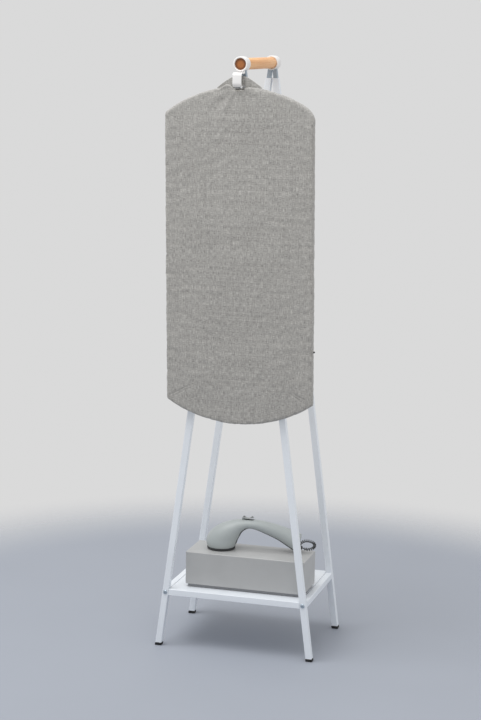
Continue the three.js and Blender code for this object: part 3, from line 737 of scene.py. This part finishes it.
def rails_and_shelf():
    for side in ("front", "back", "left", "right"):
        refined("shelf_rail_" + side, WHITE, (longer_than(0.1), 1.1 * MM, 3))
    refined("shelf_sheet", WHITE, (longer_than(0.1), 0.4 * MM, 2))


def collars():
    for end in ("front", "back"):
        node = "collar_" + end
        low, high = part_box(node)
        half = (high[1] - low[1]) / 2
        bore = DOWEL_RADIUS + 0.3 * MM
        rim = COLLAR_RADIUS
        profile = [
            (bore, -half + 0.5 * MM),
            (bore + 0.5 * MM, -half),
            (rim - 1.2 * MM, -half),
            (rim - 0.5 * MM, -half + 0.25 * MM),
            (rim - 0.1 * MM, -half + 0.8 * MM),
            (rim, -half + 1.4 * MM),
        ]
        profile += [(radius, -run) for radius, run in reversed(profile)]
        profile.append(profile[0])
        mesh = lathe(node + "_ring", profile, middle_of(node), (0, 1, 0), 96, 50)
        settle(add_object(node + "_ring", mesh, FITTINGS), node)


def handle():
    low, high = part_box("handle_dowel")
    half = (high[1] - low[1]) / 2
    centre = middle_of("handle_dowel")
    profile = [(0, -half)]
    profile += [(share * DOWEL_RADIUS, -half) for share in (0.3, 0.6, 0.9)]
    profile += [
        (DOWEL_RADIUS - 0.6 * MM, -half + 0.15 * MM),
        (DOWEL_RADIUS - 0.15 * MM, -half + 0.6 * MM),
        (DOWEL_RADIUS, -half + 1.3 * MM),
        (DOWEL_RADIUS, 0),
    ]
    profile += [(radius, -run) for radius, run in reversed(profile[:-1])]
    mesh = lathe("handle_beech", profile, centre, (0, 1, 0), 128, 50)
    piece = add_object("handle_beech", mesh, BEECH)
    mesh.materials.append(beech_end(centre))
    for face in mesh.polygons:
        if abs(face.normal.y) > 0.8:
            face.material_index = 1
    settle(piece, "handle_dowel")


def arc(centre, radius, start, end, count=9):
    turns = [math.radians(start + (end - start) * i / (count - 1)) for i in range(count)]
    return [(centre[0] + radius * math.cos(t), centre[1] + radius * math.sin(t)) for t in turns]


def board_hook():
    """A bent strip: down from the collar, forward, down, back through the slot, and up to its tip."""
    low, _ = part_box("board_hook")
    thick, half_width, corner = 3 * MM, 11 * MM, 0.9 * MM
    front = low[1] + thick / 2
    bottom = low[2] + thick / 2
    top = bottom + 31.2 * MM
    riser = front + 30 * MM
    tip = front + 28 * MM
    collar_wall = top + 5.6 * MM
    path = [(riser, collar_wall), (riser, top + 3.4 * MM)]
    path += arc((riser - 3.3 * MM, top + 3.3 * MM), 3.3 * MM, 0, -90)
    path += arc((front + 6 * MM, top - 6 * MM), 6 * MM, 90, 180, 13)
    path += arc((front + 9 * MM, bottom + 9 * MM), 9 * MM, 180, 270, 15)
    path += arc((tip - 6 * MM, bottom + 6 * MM), 6 * MM, 270, 360, 13)
    section = []
    for cx, cz, start in ((1, 1, 0), (-1, 1, 90), (-1, -1, 180), (1, -1, 270)):
        centre = (cx * (half_width - corner), cz * (thick / 2 - corner))
        section += arc(centre, corner, start, start + 90, 5)
    points = []
    for i, (y, z) in enumerate(path):
        before, after = path[max(i - 1, 0)], path[min(i + 1, len(path) - 1)]
        along = Vector((after[0] - before[0], after[1] - before[1])).normalized()
        for across, out in section:
            points.append((across, y - along.y * out, z + along.x * out))
    count = len(section)
    faces = band(count, len(path))
    faces.append(tuple(range(count)))
    faces.append(tuple(range(len(points) - count, len(points))))
    mesh = mesh_from("board_hook_strip", points, faces, 45)
    settle(add_object("board_hook_strip", mesh, FITTINGS), "board_hook")


legs_and_feet()
rails_and_shelf()
collars()
handle()
board_hook()


# ---------------------------------------------------------------- the base unit
def near_height(z, reach=0.4 * MM):
    return lambda middle, length: abs(middle.z - z) < reach


def base_unit():
    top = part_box("base_housing")[1][2]
    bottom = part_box("base_housing")[0][2]
    refined(
        "base_housing",
        HOUSING,
        (near_height(top), 2.2 * MM, 5),
        (near_height(bottom), 0.5 * MM, 2),
    )
    refined("base_pan", PLINTH, (longer_than(0.08), 0.6 * MM, 2))
    refined("water_tank", CLEAR, (longer_than(0.04), 0.7 * MM, 3))
    refined("filler_cap", DARK)
    refined("tank_dock", DARK, (longer_than(0.006), 0.8 * MM, 2))
    refined("mains_inlet", DARK, (longer_than(0.015), 0.5 * MM, 3))
    refined("power_rocker", DARK, (longer_than(0.006), 0.5 * MM, 3))


base_unit()


# ---------------------------------------------------------------- the padded board
BOARD_LEAN = 0.016  # radians off plumb, about the pivot in the hook
PIVOT_Z = 1423.5 * MM
BOARD_HALF = 186 * MM
CROWN_TOP = -6 * MM  # heights are from the pivot
SHOULDER_TOP = -68 * MM
SHOULDER_BOTTOM = -771 * MM
CROWN_BOTTOM = -827 * MM
BOARD_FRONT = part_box("board_cover")[0][1]
BOARD_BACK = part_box("board_cover")[1][1]
EDGE_RADIUS = 6 * MM
HEM = 34 * MM
CLOTH = 1.5 * MM
SLOT_HALF = 13 * MM


def smooth_step(value, low, high):
    t = min(1.0, max(0.0, (value - low) / (high - low)))
    return t * t * (3 - 2 * t)


def arc_radius(shoulder, crown):
    rise = abs(crown - shoulder)
    return (BOARD_HALF**2 + rise**2) / (2 * rise)


def top_height(x, inset=0.0):
    radius = arc_radius(SHOULDER_TOP, CROWN_TOP)
    return CROWN_TOP - radius + math.sqrt((radius - inset) ** 2 - x * x)


def bottom_height(x, inset=0.0):
    radius = arc_radius(SHOULDER_BOTTOM, CROWN_BOTTOM)
    return CROWN_BOTTOM + radius - math.sqrt((radius - inset) ** 2 - x * x)


def edge_ring(inset, across=64, down=120, corner=9):
    """The board's outline drawn in by the inset, always with the same number of points."""
    half = max(BOARD_HALF - inset, 0.0)
    soft_left, soft_right = min(7 * MM, half * 0.45), min(21 * MM, half * 0.45)
    soft_low = min(5 * MM, half * 0.45)
    top, bottom = top_height(half, inset), bottom_height(half, inset)
    near_left, near_right, near_low = half - soft_left, half - soft_right, half - soft_low
    ring = [(x, top_height(x, inset)) for x in np.linspace(-near_left, near_right, across)]
    crown = (near_right, top_height(near_right, inset))
    ring += bend(crown, (half, top), (half, top - soft_right), corner)
    ring += [(half, h) for h in np.linspace(top - soft_right, bottom + soft_low, down)]
    foot = (near_low, bottom_height(near_low, inset))
    ring += bend((half, bottom + soft_low), (half, bottom), foot, corner)
    ring += [(x, bottom_height(x, inset)) for x in np.linspace(near_low, -near_low, across)]
    ring += bend((-near_low, foot[1]), (-half, bottom), (-half, bottom + soft_low), corner)
    ring += [(-half, h) for h in np.linspace(bottom + soft_low, top - soft_left, down)]
    crown = (-near_left, top_height(near_left, inset))
    ring += bend((-half, top - soft_left), (-half, top), crown, corner)
    return ring


def bend(start, pull, end, count):
    """Points inside a curve that leaves start towards pull and arrives at end."""
    points = []
    for i in range(1, count + 1):
        t = i / (count + 1)
        weights = ((1 - t) ** 2, 2 * t * (1 - t), t * t)
        points.append(
            tuple(sum(w * p[k] for w, p in zip(weights, (start, pull, end))) for k in (0, 1))
        )
    return points


def cover_rings():
    """(inset, depth) of each ring, from the middle of the front, round the edge, to the hem."""
    rings = [(BOARD_HALF, BOARD_FRONT)]
    rings += [(inset, BOARD_FRONT) for inset in np.linspace(180 * MM, EDGE_RADIUS, 30)]
    quarter = [math.radians(a) for a in (15, 30, 45, 60, 75, 90)]
    for turn in quarter:
        depth = BOARD_FRONT + EDGE_RADIUS * (1 - math.cos(turn))
        rings.append((EDGE_RADIUS * (1 - math.sin(turn)), depth))
    rings.append((-0.5 * MM, (BOARD_FRONT + BOARD_BACK) / 2))
    for turn in quarter:
        depth = BOARD_BACK - EDGE_RADIUS * (1 - math.sin(turn))
        rings.append((EDGE_RADIUS * (1 - math.cos(turn)), depth))
    rings += [(inset, BOARD_BACK) for inset in np.linspace(12 * MM, HEM, 5)]
    elastic = ((1.1, 1.3), (2.4, 0.9), (2.7, -0.5), (1.4, -1.1), (0.2, -0.6))
    rings += [(HEM + inset * MM, BOARD_BACK + out * MM) for inset, out in elastic]
    return rings


def drape(x, height, depth, inset, on_front):
    """Moves a point of the cover from the plain outline to where the cloth lies."""
    near_top = smooth_step(-inset, -30 * MM, 0) if height > -200 * MM else 0.0
    notch = 8.7 * MM * (1 - smooth_step(abs(x), 12.6 * MM, 19 * MM))
    rise = 7 * MM * math.exp(-(((x + 31 * MM) / (12 * MM)) ** 2))
    height += near_top * (rise - notch)
    place = Vector((x, 0, height))
    if on_front > 0:
        swell = 2.0 * MM * smooth_step(inset, EDGE_RADIUS, 90 * MM)
        loose = 0.9 * MM * noise.noise(place * 11) + 0.35 * MM * noise.noise(place * 34)
        dx, dz = x + 4 * MM, height + 4 * MM
        away = math.hypot(dx, dz)
        gather = smooth_step(-away, -0.12, -0.012) * (1.0 if dx < 0 else 0.55)
        folds = 1.5 * MM * math.sin(11 * math.atan2(dx, -dz) + 0.8) * gather
        depth -= on_front * (swell + loose + folds)
    wobble = 0.8 * MM * noise.noise(place * 17 + Vector((0, 4, 0)))
    return x + wobble, height + wobble, depth


def leaning(x, height, depth):
    """A point of the board's own frame, in the part's frame."""
    cos, sin = math.cos(BOARD_LEAN), math.sin(BOARD_LEAN)
    return (x * cos - height * sin, depth, PIVOT_Z + x * sin + height * cos)


def is_neck(point):
    """True near the slot, where the cloth is sewn round the hook's opening."""
    return abs(point.x) < 24 * MM and point.z > PIVOT_Z - 28 * MM


def pull_over_hem(run, inset):
    """The elastic draws the hem into small puckers."""
    drawn = smooth_step(inset, EDGE_RADIUS, HEM)
    return 1.9 * MM * drawn * (0.5 + 0.5 * math.sin(run * 2 * math.pi / (17 * MM)))


PAD_GRIP = 0.25  # how firmly the cloth clings to the pad, from 0 to 1
SETTLING_FRAMES = 20
MOST_SETTLING = 3 * MM


def settle_cloth(piece, held, cap):
    """Lets the cloth, cut a little larger than the pad, find its folds under a slight pressure from
    inside. The held points stay, the rest cling softly to the pad, and no point ends further than
    the cap from where it began."""
    start = np.array([v.co for v in piece.data.vertices])
    group = piece.vertex_groups.new(name="held")
    group.add(range(len(start)), PAD_GRIP, "REPLACE")
    group.add(held, 1.0, "REPLACE")
    cloth = piece.modifiers.new("cloth", "CLOTH")
    settings = cloth.settings
    settings.quality = 6
    settings.mass = 0.25
    settings.tension_stiffness = 18
    settings.compression_stiffness = 18
    settings.shear_stiffness = 6
    settings.bending_stiffness = 1.2
    settings.vertex_group_mass = "held"
    settings.use_pressure = True
    settings.uniform_pressure_force = 4
    settings.shrink_min = -0.012
    settings.effector_weights.gravity = 0
    cloth.collision_settings.use_collision = False
    scene = bpy.context.scene
    for number in range(1, SETTLING_FRAMES + 1):
        scene.frame_set(number)
    evaluated = piece.evaluated_get(bpy.context.evaluated_depsgraph_get())
    moved = np.array([v.co for v in evaluated.data.vertices])
    piece.modifiers.remove(cloth)
    piece.vertex_groups.clear()
    scene.frame_set(1)
    shift = moved - start
    size = np.maximum(np.linalg.norm(shift, axis=1), 1e-9)[:, None]
    placed = start + shift / size * cap * np.tanh(size / cap)
    piece.data.vertices.foreach_set("co", placed.ravel())
    piece.data.update()


def board_cover():
    rings = cover_rings()
    points = []
    for inset, depth in rings:
        outline = edge_ring(inset)
        run = 0.0
        on_front = smooth_step(-depth, -(BOARD_FRONT + EDGE_RADIUS), -BOARD_FRONT)
        on_back = smooth_step(depth, BOARD_BACK - 1 * MM, BOARD_BACK)
        for k, (x, height) in enumerate(outline):
            before = outline[k - 1]
            run += math.dist(before, (x, height)) if k else 0.0
            wrinkle = on_back * pull_over_hem(run + 3 * MM * noise.noise(Vector((x, 0, height)) * 30), inset)
            points.append(leaning(*drape(x, height, depth + wrinkle, inset, on_front)))
    faces = band(len(outline), len(rings))
    mesh = mesh_from("board_cover_cloth", points, faces, 70)
    weld(mesh, 2e-5)
    piece = add_object("board_cover_cloth", mesh, MELANGE)
    held = [v.index for v in mesh.vertices if v.co.y > BOARD_BACK - 3 * MM or is_neck(v.co)]
    settle_cloth(piece, held, MOST_SETTLING)
    shell = piece.modifiers.new("cloth", "SOLIDIFY")
    shell.thickness = CLOTH
    shell.offset = -1
    bake(piece)
    settle(piece, "board_cover")


def tab_top(x):
    outline = [(0, 19.6), (8, 19.6), (14, 18.6), (22, 15.4), (33, 8.6), (44, 1), (52, -5), (58, -10.5)]
    xs, heights = zip(*catmull(np.array(outline) * MM, 60))
    return float(np.interp(abs(x), xs, heights))


def hanging_tab():
    """The bell of cloth over the neck, with a slot for the hook and a rolled edge above it."""
    reach = 56 * MM
    columns = [x * MM for x in range(-56, 57, 2)]
    columns += [-SLOT_HALF, SLOT_HALF]
    columns = sorted(set(columns) - {-12 * MM, 12 * MM, -14 * MM, 14 * MM})
    low_rows, slot_rows, high_rows = 3, 4, 10
    rows = low_rows + slot_rows + high_rows
    middle = (BOARD_FRONT + BOARD_BACK) / 2 + 1.5 * MM
    points, faces = [], []
    for x in columns:
        foot, head = top_height(x) - 7.5 * MM, tab_top(x)
        spread = smooth_step(abs(x), SLOT_HALF, reach)
        slot_low = -9.5 * MM + spread * (foot + 0.2 * (head - foot) + 9.5 * MM)
        slot_high = spread * (foot + 0.5 * (head - foot))
        heights = list(np.linspace(foot, slot_low, low_rows + 1)[:-1])
        heights += list(np.linspace(slot_low, slot_high, slot_rows + 1)[:-1])
        heights += list(np.linspace(slot_high, head, high_rows + 1))
        for height in heights:
            fold = 0.9 * MM * math.sin(13 * math.atan2(x, height + 45 * MM)) * (1.0 if x < 0 else 0.5)
            loose = 0.8 * MM * noise.noise(Vector((x, 3, height)) * 40)
            points.append(leaning(x, height, middle + fold + loose))
    for i in range(len(columns) - 1):
        centre = (columns[i] + columns[i + 1]) / 2
        for j in range(rows):
            if abs(centre) < SLOT_HALF and low_rows <= j < low_rows + slot_rows:
                continue
            a = i * (rows + 1) + j
            faces.append((a, a + 1, a + rows + 2, a + rows + 1))
    mesh = mesh_from("board_cover_tab", points, faces, 70)
    piece = add_object("board_cover_tab", mesh, MELANGE)
    thick = piece.modifiers.new("thick", "SOLIDIFY")
    thick.thickness = 4.2 * MM
    thick.offset = 0
    rounding = piece.modifiers.new("rounding", "SUBSURF")
    rounding.levels = 1
    rounding.render_levels = 1
    bake(piece)
    settle(piece, "board_cover")
    edge = [np.array(leaning(x * MM, 0, middle - 0.4 * MM)) for x in range(-14, 15, 2)]
    roll = add_object("tab_rolled_edge", tube("tab_rolled_edge", edge, 2.3 * MM, 16), MELANGE)
    settle(roll, "board_cover")


def edge_stud():
    low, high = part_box("cover_edge_stud")
    radius = (high[2] - low[2]) / 2
    length = high[0] - low[0]
    middle = middle_of("cover_edge_stud")
    seat = Vector((low[0], middle.y, middle.z))
    profile = [(0, 0), (radius, 0), (radius, 0.45 * length), (0.9 * radius, 0.7 * length)]
    profile += [(0.6 * radius, 0.92 * length), (0, length)]
    mesh = lathe("edge_stud_button", profile, seat, (1, 0, 0), 32, 60)
    settle(add_object("edge_stud_button", mesh, DARK), "cover_edge_stud")


board_cover()
hanging_tab()
edge_stud()


# ---------------------------------------------------------------- the handset
HANDSET_PLACE = Vector((-63, -33.75, 243.3)) * MM  # middle of the steam head, on the lid
HANDSET_TURN = Matrix.Rotation(0.117, 4, "Z")
HANDSET_WALL = 2.5 * MM
OUTSIDE_POINTS = 41  # round half of a section
# The dark strip under the handle, partly a gasket and partly painted shade for the self-shadowed underside,
# in points round the section, and the rings over which it widens
SHADE_STRIP_START = 37
SHADE_STRIP_GROWTH = 6
SHADE_STRIP_GROWS_OVER = (10, 34)
# Outer and inner point of each section's middle plane (x, z, x, z) and half its width, in millimetres
HANDSET_SECTIONS = [
    (-35.5, 6.3, 35.5, 6.3, 34),
    (-38.5, 19, 39.5, 15, 36),
    (-35, 35, 43, 25, 35.5),
    (-22, 51, 48, 35, 33.5),
    (-1, 65, 54, 45, 29),
    (26, 74.5, 62, 52, 23.5),
    (52, 79, 73, 56.5, 19.5),
    (86, 79.5, 88, 54.5, 18),
    (118, 76, 110, 46.5, 18),
    (156, 67, 144, 32, 20),
    (186, 57, 173, 14.5, 22.5),
    (205, 50, 193, 1.5, 24.5),
]
TAIL_AXIS = Vector((0.9707, 0, -0.2402))
CORD_EXIT = Vector((196.6, 0, 16.05)) * MM


def in_handset(point):
    return HANDSET_PLACE + HANDSET_TURN @ Vector(point)


def section_point(section, angle, inset):
    """A point on an elliptical section, drawn in by the inset. Angle 0 is its outer point."""
    outer = Vector((section[0], 0, section[1]))
    inner = Vector((section[2], 0, section[3]))
    reach = (outer - inner) / 2
    across = max(section[4] - inset, 0)
    along = reach * (1 - inset / reach.length) * math.cos(angle)
    return (outer + inner) / 2 + along + Vector((0, across * math.sin(angle), 0))


def half_section(section, side, lip):
    """The closed outline of one shell half: its outside, and back along its inside."""
    seam, groove = 0.15 * MM, 0.5 * MM
    angles = np.linspace(0, math.pi, OUTSIDE_POINTS)
    outside = [section_point(section, a, lip) for a in angles]
    inside = [section_point(section, a, HANDSET_WALL) for a in reversed(angles)]
    outside[0] = section_point(section, 0, groove)
    outside[-1] = section_point(section, math.pi, groove)
    for index, corner in ((1, 0), (-2, math.pi)):
        edge = section_point(section, corner, lip)
        edge.y = 0.55 * MM
        outside.insert(index if index > 0 else len(outside) - 1, edge)
    points = []
    for point in outside + inside:
        points.append(Vector((point.x, side * max(point.y, seam), point.z)))
    return points


def handset_shell(node, side):
    smooth = catmull(np.array(HANDSET_SECTIONS) * MM, 84)
    rings = []
    for i, section in enumerate(smooth):
        lip = 0.7 * MM if i in (0, len(smooth) - 1) else 0.0
        rings.append(half_section(section, side, lip))
    count = len(rings[0])
    points = [in_handset(p) for ring in rings for p in ring]
    faces = band(count, len(rings))
    outer_count = OUTSIDE_POINTS + 2  # with the two edges beside the seam
    for ring in (0, len(rings) - 1):
        base = ring * count
        outs = list(range(outer_count))
        ins = list(range(count - 1, outer_count - 1, -1))
        ins = [ins[0], *ins, ins[-1]]
        for k in range(outer_count - 1):
            corners = (outs[k], outs[k + 1], ins[k + 1], ins[k])
            unique = list(dict.fromkeys(base + c for c in corners))
            faces.append(tuple(unique))
    mesh = mesh_from(node + "_moulded", points, faces, 32)
    piece = add_object(node + "_moulded", mesh, HANDSET)
    mesh.materials.append(GASKET_AND_SHADE)
    # Faces of the dark strip: partly a gasket, partly painted shade on the shadowed underside.
    for index in range((len(rings) - 1) * count):
        ring, k = divmod(index, count)
        first = round(SHADE_STRIP_START - SHADE_STRIP_GROWTH * smooth_step(ring, *SHADE_STRIP_GROWS_OVER))
        if 4 <= ring < len(rings) - 3 and first <= k < outer_count - 1:
            mesh.polygons[index].material_index = 1
    cutter_mesh = lever_slot_cutter()
    cutter = add_object("lever_slot_cutter", cutter_mesh)
    cut = piece.modifiers.new("slot", "BOOLEAN")
    cut.object = cutter
    cut.solver = "EXACT"
    bake(piece)
    bpy.data.objects.remove(cutter)
    finish_mesh(piece.data, 32)
    settle(piece, node)


def lever_slot_cutter():
    """A round-ended slot through the top of the body, round the thumb lever's stem."""
    ends = [(59 * MM, 90), (79 * MM, -90)]
    outline = []
    for x, start in ends:
        outline += arc((x, 0), 6 * MM, start, start + 180, 13)
    points = [in_handset((x, y, z)) for z in (62 * MM, 92 * MM) for x, y in outline]
    count = len(outline)
    faces = [tuple(range(count)), tuple(range(count, 2 * count))]
    faces += band(count, 2)
    return mesh_from("lever_slot_cutter", points, faces)


def tail_cap():
    """An oval lid over the tail's open end, its rim rounded."""
    section = np.array(HANDSET_SECTIONS[-1]) * MM
    steps = ((0.3, 3), (0.3, 1.0), (1.1, 1.2), (2.0, 2.0), (2.6, 3.4), (3.0, 6), (3.0, 16))
    sides = 72
    points = []
    for run, inset in steps:
        for k in range(sides):
            spot = section_point(section, 2 * math.pi * k / sides, inset * MM)
            points.append(in_handset(spot + TAIL_AXIS * run * MM))
    faces = band(sides, len(steps))
    faces.append(tuple(range(sides)))
    faces.append(tuple(range(len(points) - sides, len(points))))
    mesh = mesh_from("tail_cap_lid", points, faces, 40)
    settle(add_object("tail_cap_lid", mesh, HANDSET), "tail_cap")


def ribbed(start, end, first, last, ribs, depth):
    """The profile of a tapering nose with grooves round it."""
    steps = ribs * 8
    profile = []
    for i in range(steps + 1):
        share = i / steps
        radius = first + (last - first) * share
        groove = depth * max(0.0, math.sin(2 * math.pi * ribs * share)) ** 0.5
        profile.append((radius - groove, start + (end - start) * share))
    return profile


def cord_ends():
    """The strain relief on the handset, and the gland in the base unit's back wall."""
    bore = 1.5 * MM
    nose = ribbed(3.3 * MM, 13.3 * MM, 6.4 * MM, 4.2 * MM, 3, 0.55 * MM)
    profile = [(0, 3.3 * MM), *nose, (bore, 13.4 * MM), (bore, 10 * MM), (0, 10 * MM)]
    axis = HANDSET_TURN @ TAIL_AXIS
    mesh = lathe("strain_relief_ribbed", profile, in_handset(CORD_EXIT), axis, 48, 45)
    relief = add_object("strain_relief_ribbed", mesh, DARK)
    settle(relief, "cord_strain_relief")

    low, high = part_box("cord_gland")
    middle = middle_of("cord_gland")
    wall = Vector((middle.x, high[1] - 9 * MM, middle.z))
    nose = ribbed(1 * MM, 9 * MM, 6.9 * MM, 4.8 * MM, 2, 0.5 * MM)
    flange = 9.5 * MM
    profile = [(0, -8 * MM), (flange, -8 * MM), (flange, -2.8 * MM), (7 * MM, -2.8 * MM)]
    profile += [*nose, (bore, 9 * MM), (bore, 6 * MM), (0, 6 * MM)]
    mesh = lathe("cord_gland_ribbed", profile, wall, (0, 1, 0), 48, 45)
    settle(add_object("cord_gland_ribbed", mesh, DARK), "cord_gland")


def steam_sole():
    """The dark oval sole with two rings of steam holes."""
    outline = ((34, 32, 0.4), (34.8, 33, 0), (35.6, 34, 0.8), (36, 34.5, 2), (36, 34.5, 6))
    sides = 96
    points = []
    for a, b, z in outline:
        for k in range(sides):
            turn = 2 * math.pi * k / sides
            points.append(in_handset(Vector((a * math.cos(turn), b * math.sin(turn), z)) * MM))
    faces = band(sides, len(outline))
    faces.append(tuple(range(sides)))
    faces.append(tuple(range(len(points) - sides, len(points))))
    piece = add_object("steam_sole_plate", mesh_from("steam_sole_plate", points, faces, 40), DARK)
    holes = bmesh.new()
    for radius, number in ((11, 8), (23, 16)):
        for k in range(number):
            turn = 2 * math.pi * k / number
            spot = Vector((radius * math.cos(turn), radius * math.sin(turn), 0)) * MM
            place = Matrix.Translation(in_handset(spot))
            bmesh.ops.create_cone(
                holes,
                cap_ends=True,
                segments=16,
                radius1=1.4 * MM,
                radius2=1.4 * MM,
                depth=7 * MM,
                matrix=place,
            )
    cutter_mesh = bpy.data.meshes.new("steam_holes")
    holes.to_mesh(cutter_mesh)
    holes.free()
    cutter = add_object("steam_holes", cutter_mesh)
    cut = piece.modifiers.new("holes", "BOOLEAN")
    cut.object = cutter
    cut.solver = "EXACT"
    bake(piece)
    bpy.data.objects.remove(cutter)
    finish_mesh(piece.data, 40)
    settle(piece, "steam_sole")


def thumb_lever():
    """A saddle for the thumb, raised to a horn at each end, on a stem that turns on the pin."""
    pivot_x = 58
    top = [(-4.6, 82.2), (-3, 86), (0.5, 88.6), (4, 86.4), (8, 84), (12, 83.4), (16, 84.6)]
    top += [(20, 87.4), (22.5, 87.9), (25, 85), (26, 82.2)]
    stations = catmull(np.array(top), 40)
    sides = 24
    rings = []
    for x, crest in stations:
        low = 80.6 + 3.4 * smooth_step(x, 4, 24) + 2 * smooth_step(-x, -2, 4.6)
        end = min(x + 4.6, 26 - x)
        half = 5.9 * (1 - (1 - min(1, (end + 0.3) / 3)) ** 2) ** 0.5
        ring = []
        crest = max(crest, low + 0.8)
        for k in range(sides):
            turn = 2 * math.pi * k / sides
            narrow = 1 - 0.35 * max(0, math.sin(turn)) * min(1, (crest - 82) / 6)
            y = half * narrow * math.copysign(abs(math.cos(turn)) ** 0.7, math.cos(turn))
            z = (crest + low) / 2 + (crest - low) / 2 * math.sin(turn)
            ring.append((pivot_x + x, y, z))
        rings.append(ring)
    stem = []
    for z, reach in ((67.8, 2.6), (68.3, 3.6), (69.5, 4), (80.5, 4), (82, 4)):
        ring = []
        for k in range(sides):
            turn = 2 * math.pi * k / sides
            corner = (abs(math.cos(turn)) ** 4 + abs(math.sin(turn)) ** 4) ** 0.25
            across = reach / corner
            ring.append((pivot_x + across * math.cos(turn), across * math.sin(turn), z))
        stem.append(ring)
    points, faces = [], []
    for group in (rings, stem):
        base = len(points)
        points += [in_handset(Vector(p) * MM) for ring in group for p in ring]
        faces += band(sides, len(group), base)
        faces.append(tuple(base + k for k in range(sides)))
        faces.append(tuple(range(len(points) - sides, len(points))))
    mesh = mesh_from("thumb_lever_saddle", points, faces, 50)
    settle(add_object("thumb_lever_saddle", mesh, LEVER), "thumb_lever")


handset_shell("handset_shell_front", -1)
handset_shell("handset_shell_rear", 1)
tail_cap()
cord_ends()
steam_sole()
thumb_lever()


# ---------------------------------------------------------------- floor, lights and backdrop
def studio_lamp(name, size, energy, place, target):
    lamp = bpy.data.lights.new(name, "AREA")
    lamp.shape = "RECTANGLE"
    lamp.size, lamp.size_y = size
    lamp.energy = energy
    holder = bpy.data.objects.new(name, lamp)
    holder.location = place
    aim = Vector(target) - holder.location
    holder.rotation_euler = aim.to_track_quat("-Z", "Y").to_euler()
    bpy.context.scene.collection.objects.link(holder)


def stage():
    floor_mesh = lathe("floor", [(0, 0), (0.5, 0), (1.7, 0)], (0, 0, -0.0005), (0, 0, 1), 96)
    ground = Surface("pale_floor", 0.6)
    pale = (0.325, 0.35, 0.40)
    ground.colour(ground.ramp(ground.noise(3, 3), (0.3, shade(pale, 0.98)), (0.7, pale)))
    out = distance_of(ground, ground.axis(0), ground.axis(1))
    fade = ground.add("ShaderNodeMapRange", interpolation_type="SMOOTHSTEP")
    fade.inputs["From Min"].default_value = 0.95
    fade.inputs["From Max"].default_value = 1.55
    fade.inputs["To Min"].default_value = 1.0
    fade.inputs["To Max"].default_value = 0.0
    ground.set(fade.inputs["Value"], out)
    ground.set(ground.shader.inputs["Alpha"], fade.outputs["Result"])
    add_object("floor", floor_mesh, ground.material)

    world = bpy.data.worlds.new("studio")
    world.use_nodes = True
    background = world.node_tree.nodes["Background"]
    background.inputs["Color"].default_value = (0.70, 0.70, 0.70, 1)
    background.inputs["Strength"].default_value = 1.0
    bpy.context.scene.world = world

    studio_lamp("overhead", size=(3.2, 2.4), energy=128, place=(-0.9, -1.1, 4.3), target=(0, 0, 0.8))
    studio_lamp("side_fill", size=(1.8, 1.8), energy=11, place=(3.0, -0.3, 0.9), target=(0, 0, 0.5))
    bpy.context.scene.view_settings.view_transform = "Standard"


stage()
